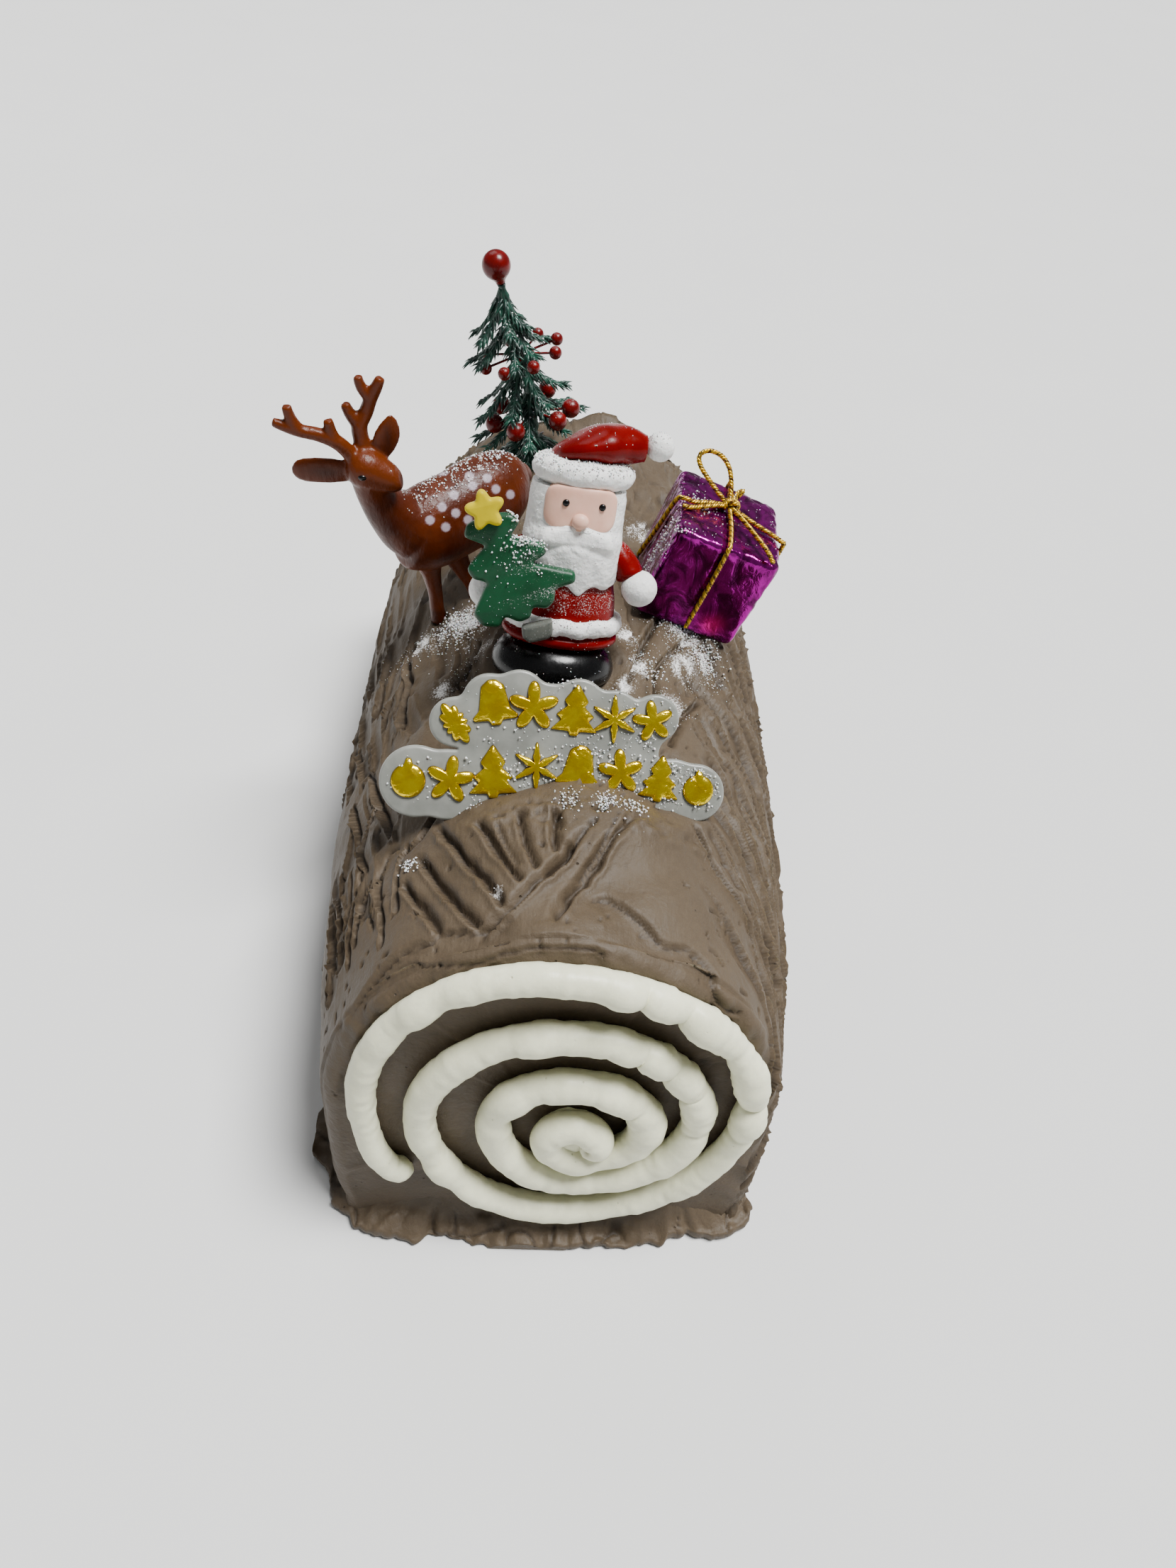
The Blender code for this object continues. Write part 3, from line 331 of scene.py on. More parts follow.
def plate(outline: Array, thickness: float, edge: float) -> Shape:
    """A flat plate with rounded edges, across and up, its thickness centred on depth 0.

    The rim is a half round: the inset is edge times 1 - sin a and the depth follows cos a.

    Args:
        outline: The closed outline, (points, 2).
        thickness: From face to face.
        edge: The radius of its edges.

    Returns:
        The plate, standing upright with its front towards -Y.
    """
    ahead, behind = np.roll(outline, -1, axis=0), np.roll(outline, 1, axis=0)
    way = (ahead - behind) / np.linalg.norm(ahead - behind, axis=1, keepdims=True)
    inward = np.stack([-way[:, 1], way[:, 0]], axis=1)
    area = np.sum(outline[:, 0] * ahead[:, 1] - outline[:, 1] * ahead[:, 0])
    inward = inward if area > 0.0 else -inward
    half = 0.5 * thickness
    rings = []
    for angle in np.linspace(-0.5 * pi, 0.5 * pi, 9):
        rim = outline + inward * edge * (1.0 - cos(angle))
        depth = np.full(len(outline), sin(angle) * edge + np.sign(sin(angle)) * (half - edge))
        rings.append(np.stack([rim[:, 0], depth, rim[:, 1]], axis=1))
    shape = Shape.lattice(np.array(rings), poles=False)
    flat = np.array(tessellate_polygon([[Vector((x, y, 0.0)) for x, y in rings[0][:, [0, 2]]]]))
    last = (len(rings) - 1) * len(outline)
    shape.tris = np.concatenate([flat, flat[:, ::-1] + last])
    front = np.cross(shape.points[flat[:, 1]] - shape.points[flat[:, 0]],
                     shape.points[flat[:, 2]] - shape.points[flat[:, 0]])[:, 1].sum()
    if front > 0.0:
        shape.tris = shape.tris[:, ::-1]
    rim_way = np.cross(shape.points[shape.quads[:, 1]] - shape.points[shape.quads[:, 0]],
                       shape.points[shape.quads[:, 2]] - shape.points[shape.quads[:, 0]])
    middle = np.array([outline[:, 0].mean(), 0.0, outline[:, 1].mean()])
    if np.einsum("ij,ij->", rim_way, shape.points[shape.quads[:, 0]] - middle) < 0.0:
        shape.quads = shape.quads[:, ::-1]
    return shape


# ---------------------------------------------------------------- shader tools

class Value:
    """A shader socket whose arithmetic adds Math nodes."""

    def __init__(self, paint: "Paint", socket: bpy.types.NodeSocket) -> None:
        """Args: paint is the material being made, and socket the output that holds the value."""
        self.paint = paint
        self.socket = socket

    def _with(self, operation: str, first: "Value | float", second: "Value | float") -> "Value":
        """The result of one Math node."""
        node = self.paint.node("ShaderNodeMath", {"operation": operation}, {0: first, 1: second})
        return Value(self.paint, node.outputs[0])

    def __add__(self, other: "Value | float") -> "Value":
        """self + other"""
        return self._with("ADD", self, other)

    def __sub__(self, other: "Value | float") -> "Value":
        """self - other"""
        return self._with("SUBTRACT", self, other)

    def __rsub__(self, other: float) -> "Value":
        """other - self"""
        return self._with("SUBTRACT", other, self)

    def __mul__(self, other: "Value | float") -> "Value":
        """self * other"""
        return self._with("MULTIPLY", self, other)

    def __pow__(self, other: float) -> "Value":
        """self to the power of other"""
        return self._with("POWER", self, other)

    __radd__ = __add__
    __rmul__ = __mul__

    def step(self, low: float, high: float) -> "Value":
        """0 below low, 1 above high and smooth between."""
        node = self.paint.node("ShaderNodeMapRange", {"interpolation_type": "SMOOTHSTEP"},
                               {"Value": self, "From Min": low, "From Max": high})
        return Value(self.paint, node.outputs[0])


class Paint:
    """One procedural material on a Principled shader."""

    def __init__(self, name: str) -> None:
        """Args: name is the material's name."""
        self.material = bpy.data.materials.new(name)
        self.material.use_nodes = True
        self.tree = self.material.node_tree
        self.shader = self.tree.nodes["Principled BSDF"]
        self.place = self.node("ShaderNodeTexCoord", {}, {}).outputs["Object"]

    def node(self, kind: str, settings: dict, sockets: dict) -> bpy.types.Node:
        """Any node but arithmetic.

        Args:
            kind: The node's type.
            settings: Its own settings, which are set first.
            sockets: What its inputs hold: a number, a vector, a Value or another node's output.

        Returns:
            The node.
        """
        node = self.tree.nodes.new(kind)
        for key, value in settings.items():
            setattr(node, key, value)
        self.feed(node, sockets)
        return node

    def feed(self, node: bpy.types.Node, sockets: dict) -> None:
        """Give a node's inputs their values or links."""
        for key, value in sockets.items():
            value = value.socket if isinstance(value, Value) else value
            if isinstance(value, bpy.types.NodeSocket):
                self.tree.links.new(value, node.inputs[key])
            else:
                node.inputs[key].default_value = value

    def grain(self, size: float, detail: float = 2.0, stretch: Point = (1.0, 1.0, 1.0),
              rough: float = 0.55, warp: float = 0.0) -> Value:
        """Noise from 0 to 1 whose features are about size millimetres across."""
        scaled = self.node("ShaderNodeMapping", {}, {"Vector": self.place, "Scale": stretch})
        made = self.node("ShaderNodeTexNoise", {}, {
            "Vector": scaled.outputs[0], "Scale": 1.0 / (size * MM), "Detail": detail,
            "Roughness": rough, "Distortion": warp})
        return Value(self, made.outputs[0])

    def cells(self, size: float, stretch: Point = (1.0, 1.0, 1.0), feature: str = "F1") -> Value:
        """Distance to scattered points, about size millimetres apart."""
        scaled = self.node("ShaderNodeMapping", {}, {"Vector": self.place, "Scale": stretch})
        made = self.node("ShaderNodeTexVoronoi", {"feature": feature}, {
            "Vector": scaled.outputs[0], "Scale": 1.0 / (size * MM)})
        return Value(self, made.outputs["Distance"])

    def mark(self, name: str) -> Value:
        """A value that the mesh carries at its points."""
        return Value(self, self.node("ShaderNodeAttribute", {"attribute_name": name}, {}).outputs["Fac"])

    def blend(self, factor: Value | float, first: Sequence | bpy.types.NodeSocket,
              second: Sequence | bpy.types.NodeSocket) -> bpy.types.NodeSocket:
        """One colour over another."""
        first, second = ((*c, 1.0) if isinstance(c, tuple) else c for c in (first, second))
        return self.node("ShaderNodeMix", {"data_type": "RGBA"},
                         {0: factor, 6: first, 7: second}).outputs[2]

    def raised(self, height: Value, depth: float) -> None:
        """Bump the surface by height, 0 to 1, times depth in millimetres."""
        made = self.node("ShaderNodeBump", {}, {"Height": height, "Distance": depth * MM, "Strength": 1.0})
        self.feed(self.shader, {"Normal": made.outputs[0]})

    def dusted(self, colour: Sequence | bpy.types.NodeSocket, size: float = 0.7) -> bpy.types.NodeSocket:
        """The colour under a film of icing sugar, speckled where the mesh's dust mark is faint."""
        dust = self.mark("dust")
        cover = (dust + (self.grain(size, 3.0) - 0.5) * 1.5 - 0.35).step(0.0, 0.55) * dust.step(0.01, 0.2)
        return self.blend(cover * 0.93, colour, (0.83, 0.82, 0.80))


@dataclass(frozen=True)
class Finish(ABC):
    """A surface: its slot and how its material is painted."""
    slot: str

    @abstractmethod
    def painted(self, name: str) -> bpy.types.Material:
        """The material."""


@dataclass(frozen=True)
class Buttercream(Finish):
    """Whipped cream: two close tones, painted shade in its creases and its pits, fine drag lines and some sugar."""
    light: Point
    dark: Point
    # painted shade colour that the creases and pits are darkened towards
    crease: Point
    roughness: float = 0.62
    pit_depth: float = 0.35

    def painted(self, name: str) -> bpy.types.Material:
        """The material."""
        paint = Paint(name)
        cloud = paint.grain(14.0, 4.0)
        tone = (cloud * 0.6 + paint.grain(1.6, 3.0) * 0.4).step(0.36, 0.66)
        colour = paint.blend(tone, self.dark, self.light)
        # painted shade: darker where the cream lies lower than its surroundings
        colour = paint.blend(paint.mark("groove"), colour, self.crease)
        pits = 1.0 - paint.cells(2.6).step(0.02, 0.13)
        rare = pits * paint.grain(9.0, 1.0).step(0.56, 0.66)
        # painted shade in the rare pits, which the bump also sinks
        colour = paint.blend(rare * 0.6, colour, self.crease)
        paint.feed(paint.shader, {
            "Base Color": paint.dusted(colour, 0.45), "Roughness": self.roughness + (tone - 0.5) * 0.12,
            "Subsurface Weight": 0.12, "Subsurface Radius": (0.9, 0.7, 0.5), "Subsurface Scale": 0.002,
            "Specular IOR Level": 0.35})
        fine = paint.grain(0.9, 3.0) * 0.30 + paint.grain(3.2, 3.0, warp=0.6) * 0.55
        drag = paint.grain(1.1, 2.0, (1.0, 0.16, 1.0)) * 0.35
        paint.raised(fine + drag - rare * 0.9, self.pit_depth)
        return paint.material


@dataclass(frozen=True)
class MouldedPlastic(Finish):
    """Painted plastic: a slightly uneven colour with fine unevenness and sugar on top."""
    colour: Point
    shade: Point
    roughness: float = 0.38
    uneven: float = 0.08
    size: float = 2.4
    shine: float = 0.32

    def painted(self, name: str) -> bpy.types.Material:
        """The material."""
        paint = Paint(name)
        tone = paint.grain(self.size * 2.0, 3.0).step(0.3, 0.7)
        scuff = paint.grain(self.size * 0.4, 4.0)
        colour = paint.blend(tone, self.shade, self.colour)
        dusted = paint.dusted(colour, 0.32)
        paint.feed(paint.shader, {
            "Base Color": dusted, "Roughness": self.roughness + (scuff - 0.5) * 0.2
            + paint.mark("dust").step(0.1, 0.7) * 0.35, "Specular IOR Level": self.shine,
            "Subsurface Weight": 0.06, "Subsurface Scale": 0.002})
        paint.raised(paint.grain(self.size, 3.0), self.uneven)
        return paint.material


@dataclass(frozen=True)
class MilkyPlastic(Finish):
    """The plaque's translucent sheet."""
    colour: Point = (0.235, 0.240, 0.215)
    shade: Point = (0.175, 0.180, 0.160)

    def painted(self, name: str) -> bpy.types.Material:
        """The material."""
        paint = Paint(name)
        colour = paint.blend(paint.grain(6.0, 3.0).step(0.3, 0.7), self.shade, self.colour)
        paint.feed(paint.shader, {
            "Base Color": paint.dusted(colour), "Roughness": 0.36 + paint.grain(1.2, 3.0) * 0.14,
            "Subsurface Weight": 0.5, "Subsurface Radius": (1.0, 1.0, 1.0), "Subsurface Scale": 0.0015,
            "Transmission Weight": 0.0, "Coat Weight": 0.2, "Coat Roughness": 0.15})
        paint.raised(paint.grain(4.0, 2.0), 0.12)
        return paint.material


@dataclass(frozen=True)
class HotFoil(Finish):
    """Stamped gold foil: bright on its crown, with crinkles, and painted shade that darkens its sloping rims."""
    bright: Point = (0.74, 0.49, 0.002)
    # painted shade colour for the sloping rims
    deep: Point = (0.16, 0.085, 0.001)

    def painted(self, name: str) -> bpy.types.Material:
        """The material."""
        paint = Paint(name)
        colour = paint.blend(paint.grain(3.0, 3.0).step(0.3, 0.7), self.bright, (0.88, 0.66, 0.02))
        # painted shade: darker on each motif's sloping rim
        colour = paint.blend(paint.mark("slope"), colour, self.deep)
        paint.feed(paint.shader, {
            "Base Color": paint.dusted(colour), "Metallic": 0.92 - paint.mark("dust").step(0.2, 0.7) * 0.8,
            "Roughness": 0.12 + paint.grain(1.0, 3.0) * 0.14})
        paint.raised(paint.grain(1.8, 3.0, warp=1.0), 0.22)
        return paint.material


@dataclass(frozen=True)
class GiftFoil(Finish):
    """Crumpled purple foil, scuffed pale on its left side, with painted shade in the low parts of its folds and a
    painted highlight low on its front.
    """
    bright: Point = (0.30, 0.0006, 0.23)
    deep: Point = (0.085, 0.0003, 0.058)
    # painted highlight colour for the front face
    glow: Point = (0.80, 0.01, 0.25)

    def painted(self, name: str) -> bpy.types.Material:
        """The material."""
        paint = Paint(name)
        fold = paint.grain(5.0, 4.0, (1.0, 1.0, 0.6), warp=1.5)
        # painted shade: the colour follows the fold bumps and is darker in their low parts
        colour = paint.blend(fold.step(0.35, 0.62), self.deep, self.bright)
        # painted highlight on the front face's lower right
        colour = paint.blend(paint.mark("glow"), colour, self.glow)
        scuff = paint.mark("scuff") * paint.grain(1.1, 4.0, (1.0, 1.0, 0.35), 0.7).step(0.47, 0.62)
        colour = paint.blend(scuff * 0.8, colour, (0.62, 0.50, 0.60))
        dust = paint.mark("dust")
        paint.feed(paint.shader, {
            "Base Color": paint.dusted(colour, 0.5), "Metallic": 0.88 - (scuff + dust).step(0.1, 0.7) * 0.7,
            "Roughness": 0.10 + paint.grain(2.0, 3.0) * 0.10 + (scuff + dust).step(0.1, 0.7) * 0.4})
        wrinkle = paint.grain(3.0, 2.0, (1.0, 1.0, 0.45), warp=0.8) * 0.30
        paint.raised(fold * 0.9 + wrinkle, 0.30)
        return paint.material


@dataclass(frozen=True)
class TwistedThread(Finish):
    """Metal thread: bright strands beside a dark red-brown one whose colour is painted shade between the twists, with
    painted glints.
    """
    bright: Point = (0.54, 0.30, 0.008)
    dark: Point = (0.07, 0.018, 0.003)

    def painted(self, name: str) -> bpy.types.Material:
        """The material."""
        paint = Paint(name)
        glint = paint.grain(0.5, 2.0).step(0.42, 0.6)
        # painted shade: the strand marked 1 is dark, standing in for shade between the twists
        colour = paint.blend(paint.mark("strand"), self.bright, self.dark)
        colour = paint.blend(glint * 0.3, colour, (0.95, 0.76, 0.12))
        paint.feed(paint.shader, {"Base Color": paint.dusted(colour, 0.4), "Metallic": 0.85,
                                  "Roughness": 0.30 + paint.grain(0.7, 2.0) * 0.2})
        paint.raised(paint.grain(0.35, 2.0), 0.08)
        return paint.material


@dataclass(frozen=True)
class DeerHide(Finish):
    """Glossy brown moulding: lighter and more orange on the head and legs, a painted glow of light through the thin
    plastic; dark in its hollows; with pale painted spots.
    """
    light: Point = (0.092, 0.0150, 0.00005)
    dark: Point = (0.046, 0.0062, 0.00005)

    def painted(self, name: str) -> bpy.types.Material:
        """The material."""
        paint = Paint(name)
        # painted glow: the thin mark lightens the head and legs, as light shining through thin plastic would
        tone = (paint.grain(9.0, 3.0) + paint.mark("thin") * 0.6).step(0.35, 0.85)
        colour = paint.blend(tone, self.dark, self.light)
        colour = paint.blend(paint.mark("shade"), colour, (0.012, 0.002, 0.001))
        colour = paint.blend(paint.mark("spot") * 0.9, colour, (0.34, 0.28, 0.32))
        paint.feed(paint.shader, {
            "Base Color": paint.dusted(colour, 0.5), "Roughness": 0.30 + paint.grain(1.0, 3.0) * 0.16
            + paint.mark("dust").step(0.1, 0.7) * 0.3, "Specular IOR Level": 0.22})
        paint.raised(paint.grain(1.3, 3.0, (1.0, 1.0, 0.4)), 0.22)
        return paint.material


@dataclass(frozen=True)
class FirNeedles(Finish):
    """Dark green plastic needles with frosted white tips."""
    green: Point = (0.0060, 0.058, 0.034)
    deep: Point = (0.0018, 0.019, 0.013)
    frost: Point = (0.45, 0.52, 0.48)

    def painted(self, name: str) -> bpy.types.Material:
        """The material."""
        paint = Paint(name)
        colour = paint.blend(paint.grain(3.0, 2.0).step(0.3, 0.7), self.deep, self.green)
        tips = (paint.mark("tip") + (paint.grain(2.5, 2.0) - 0.5) * 1.6).step(0.85, 1.3)
        colour = paint.blend(tips * 0.7, colour, self.frost)
        paint.feed(paint.shader, {"Base Color": paint.dusted(colour, 0.5),
                                  "Roughness": 0.34 + paint.grain(1.0, 2.0) * 0.2})
        paint.raised(paint.grain(0.8, 2.0), 0.1)
        return paint.material


@dataclass(frozen=True)
class IcingSugar(Finish):
    """Powdered sugar: white, matt and a little translucent."""
    colour: Point = (0.84, 0.84, 0.83)

    def painted(self, name: str) -> bpy.types.Material:
        """The material."""
        paint = Paint(name)
        colour = paint.blend(paint.grain(3.0, 2.0).step(0.3, 0.7), (0.74, 0.73, 0.74), self.colour)
        paint.feed(paint.shader, {"Base Color": colour, "Roughness": 0.8 + paint.grain(0.5) * 0.1,
                                  "Subsurface Weight": 0.2, "Subsurface Scale": 0.001})
        paint.raised(paint.grain(0.25, 2.0), 0.1)
        return paint.material


# Each cream's third colour is the painted shade of its creases and pits.
MOCHA = Buttercream("mocha_cream", (0.078, 0.0555, 0.0330), (0.066, 0.0465, 0.0270), (0.020, 0.0125, 0.0065))
VANILLA = Buttercream("white_cream", (0.82, 0.82, 0.60), (0.72, 0.72, 0.52), (0.42, 0.40, 0.26), 0.42, 0.14)
MILKY = MilkyPlastic("plaque_plastic")
STAMPED_GOLD = HotFoil("plaque_plastic")
BLACK = MouldedPlastic("black_plastic", (0.0012, 0.0012, 0.0014), (0.0008, 0.0008, 0.0008), 0.26)
RED = MouldedPlastic("red_plastic", (0.150, 0.00002, 0.00004), (0.112, 0.00002, 0.00004), 0.28, shine=0.12)
BERRY_RED = MouldedPlastic("red_plastic", (0.140, 0.0003, 0.0004), (0.080, 0.0002, 0.0003), 0.25)
WHITE = MouldedPlastic("white_plastic", (0.84, 0.84, 0.81), (0.72, 0.72, 0.70), 0.42, 0.3, 1.3)
SKIN = MouldedPlastic("skin_plastic", (0.74, 0.45, 0.34), (0.68, 0.38, 0.28), 0.45)
GREEN = MouldedPlastic("green_plastic", (0.0018, 0.058, 0.020), (0.0012, 0.040, 0.013), 0.4, 0.12)
YELLOW = MouldedPlastic("yellow_plastic", (0.54, 0.43, 0.00002), (0.45, 0.35, 0.00002), 0.4, shine=0.12)
GREY = MouldedPlastic("grey_plastic", (0.095, 0.100, 0.085), (0.055, 0.060, 0.052), 0.45)
HIDE = DeerHide("deer_plastic")
FIR = FirNeedles("fir_plastic")
PURPLE = GiftFoil("purple_foil")
THREAD = TwistedThread("gold_cord")
SUGAR = IcingSugar("white_cream")


# ---------------------------------------------------------------- the sub-assemblies

@dataclass
class Piece:
    """A finished shape with its finish and the model's nodes that it stands for."""
    name: str
    shape: Shape
    finish: Finish
    nodes: tuple[str, ...] = ()
    crease: float = 180.0               # degrees above which an edge stays sharp
    item: bpy.types.Object | None = None


@dataclass
class SubAssembly(ABC):
    """A group of pieces that is modelled and dressed together."""
    pieces: list[Piece] = field(default_factory=list, init=False)

    @abstractmethod
    def build(self) -> None:
        """Work out every piece's shape."""

    def add(self, name: str, shape: Shape, finish: Finish, *nodes: str, crease: float = 180.0) -> None:
        """Keep a shape as a piece; it stands for the nodes named."""
        self.pieces.append(Piece(name, shape, finish, nodes, crease))

    def dress(self) -> None:
        """Make every piece's object and material, and tie it to the model."""
        for piece in self.pieces:
            mesh = piece.shape.mesh(piece.name)
            if piece.crease < 180.0:
                mesh.set_sharp_from_angle(angle=radians(piece.crease))
            mesh.materials.append(piece.finish.painted(piece.name + "_finish"))
            piece.item = bpy.data.objects.new(piece.name, mesh)
            bpy.context.scene.collection.objects.link(piece.item)
            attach(piece.item, "root")
            if piece.nodes:
                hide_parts(*piece.nodes)
            REPORT.info("%s: %d faces", piece.name, len(mesh.polygons))


@dataclass(frozen=True)
class Cut:
    """A mark in the cream along a line of (across, along) points.

    Its profile over the signed distance d has a steep wall on one side and a gentle slope on the other, both
    -depth times e to the power of minus d to the 1.5, with a raised lip beyond the wall. On its front side
    the cream lies lower by drop, which fades over a few millimetres.
    """
    line: tuple[tuple[float, float], ...]
    width: float = 0.7
    depth: float = 1.0
    burr: float = 0.25
    drop: float = 0.0

    def pressed(self, across: Array, along: Array) -> Array:
        """The height that the mark adds at each place."""
        knots = through(self.line, 4 * len(self.line))
        nearest = np.full(across.shape, 1e6)
        signed, share = np.zeros_like(nearest), np.zeros_like(nearest)
        for number, (a, b) in enumerate(zip(knots, knots[1:])):
            way = b - a
            t = ((across - a[0]) * way[0] + (along - a[1]) * way[1]) / (way @ way)
            held = np.clip(t, 0.0, 1.0)
            gap = np.hypot(across - a[0] - held * way[0], along - a[1] - held * way[1])
            side = way[0] * (along - a[1]) - way[1] * (across - a[0])
            closer = gap < nearest
            nearest = np.where(closer, gap, nearest)
            signed = np.where(closer, np.copysign(gap, side), signed)
            share = np.where(closer, (number + held) / (len(knots) - 1), share)
        ends = step(share, 0.0, 0.1) * step(1.0 - share, 0.0, 0.1)
        signed = signed + 0.3 * self.width * noise(5, across / 2.4, along / 2.4)
        wall = np.where(signed > 0.0, signed, -signed / 0.36) / self.width
        trough = -self.depth * np.exp(-wall ** 1.5)
        lips = self.burr * (bump(signed + 0.75 * self.width, 0.42 * self.width)
                            + 0.35 * bump(signed - 2.0 * self.width, 0.7 * self.width))
        ledge = -self.drop * step(-signed, -0.35, 0.35) * bump(nearest, 5.0)
        return (trough + lips + ledge) * ends


@dataclass(frozen=True)
class KnifeWork:
    """A patch of strokes of the palette knife, each pulled over the ones before it.

    A stroke is a shallow trough that wipes out what it crosses. Its floor follows 1 less e squared, with e
    from -1 to 1 across it, tilted and ribbed by a cosine for each tine, and its edges stand up as burrs.
    """
    across: tuple[float, float]
    along: tuple[float, float]
    angle: float                        # degrees from the across direction
    spread: float
    count: int
    length: tuple[float, float]
    half: tuple[float, float]
    depth: float
    burr: float
    tines: int
    seed: int

    def pull(self, relief: Array, across: Array, along: Array) -> None:
        """Draw the strokes into a relief, in place."""
        draw = np.random.default_rng(self.seed)
        for _ in range(self.count):
            start = draw.uniform(*self.across), draw.uniform(*self.along)
            angle = radians(self.angle + draw.normal(0.0, self.spread))
            length, half = draw.uniform(*self.length), draw.uniform(*self.half)
            bend, depth = draw.uniform(-0.25, 0.25), self.depth * draw.uniform(0.5, 1.2)
            near = np.flatnonzero(np.hypot(across - start[0], along - start[1]) < 1.1 * length + half)
            if not len(near):
                continue
            u, v = across[near] - start[0], along[near] - start[1]
            t = (u * cos(angle) + v * sin(angle)) / length
            wobble = 0.18 * noise(self.seed, t * 4.0 + start[0], np.full_like(t, start[1]))
            e = (v * cos(angle) - u * sin(angle) - bend * length * t * (t - 1.0)) / half + wobble
            width = 0.75 + 0.35 * np.sin(pi * np.clip(t, 0.0, 1.0))
            e = e / width
            fade = step(t, 0.0, 0.10) * (0.35 + 0.65 * step(1.0 - t, 0.0, 0.5))
            ribs = 0.5 - 0.5 * np.cos(pi * self.tines * (e + 1.0))
            floor = -depth * (0.15 * (1.0 - e * e) + 0.15 * ribs + 0.4 + 0.4 * e) * fade
            cover = step(1.0 - np.abs(e), 0.0, 0.07) * step(t, 0.0, 0.05) * step(1.0 - t, 0.0, 0.12)
            rim = self.burr * bump(np.abs(e) - 1.0, 0.11) * (0.6 + 0.4 * np.sign(e)) * fade * step(t, -0.02, 0.05)
            rim = rim * step(1.0 - t, 0.0, 0.08)
            relief[near] = relief[near] * (1.0 - cover) + floor * cover + rim


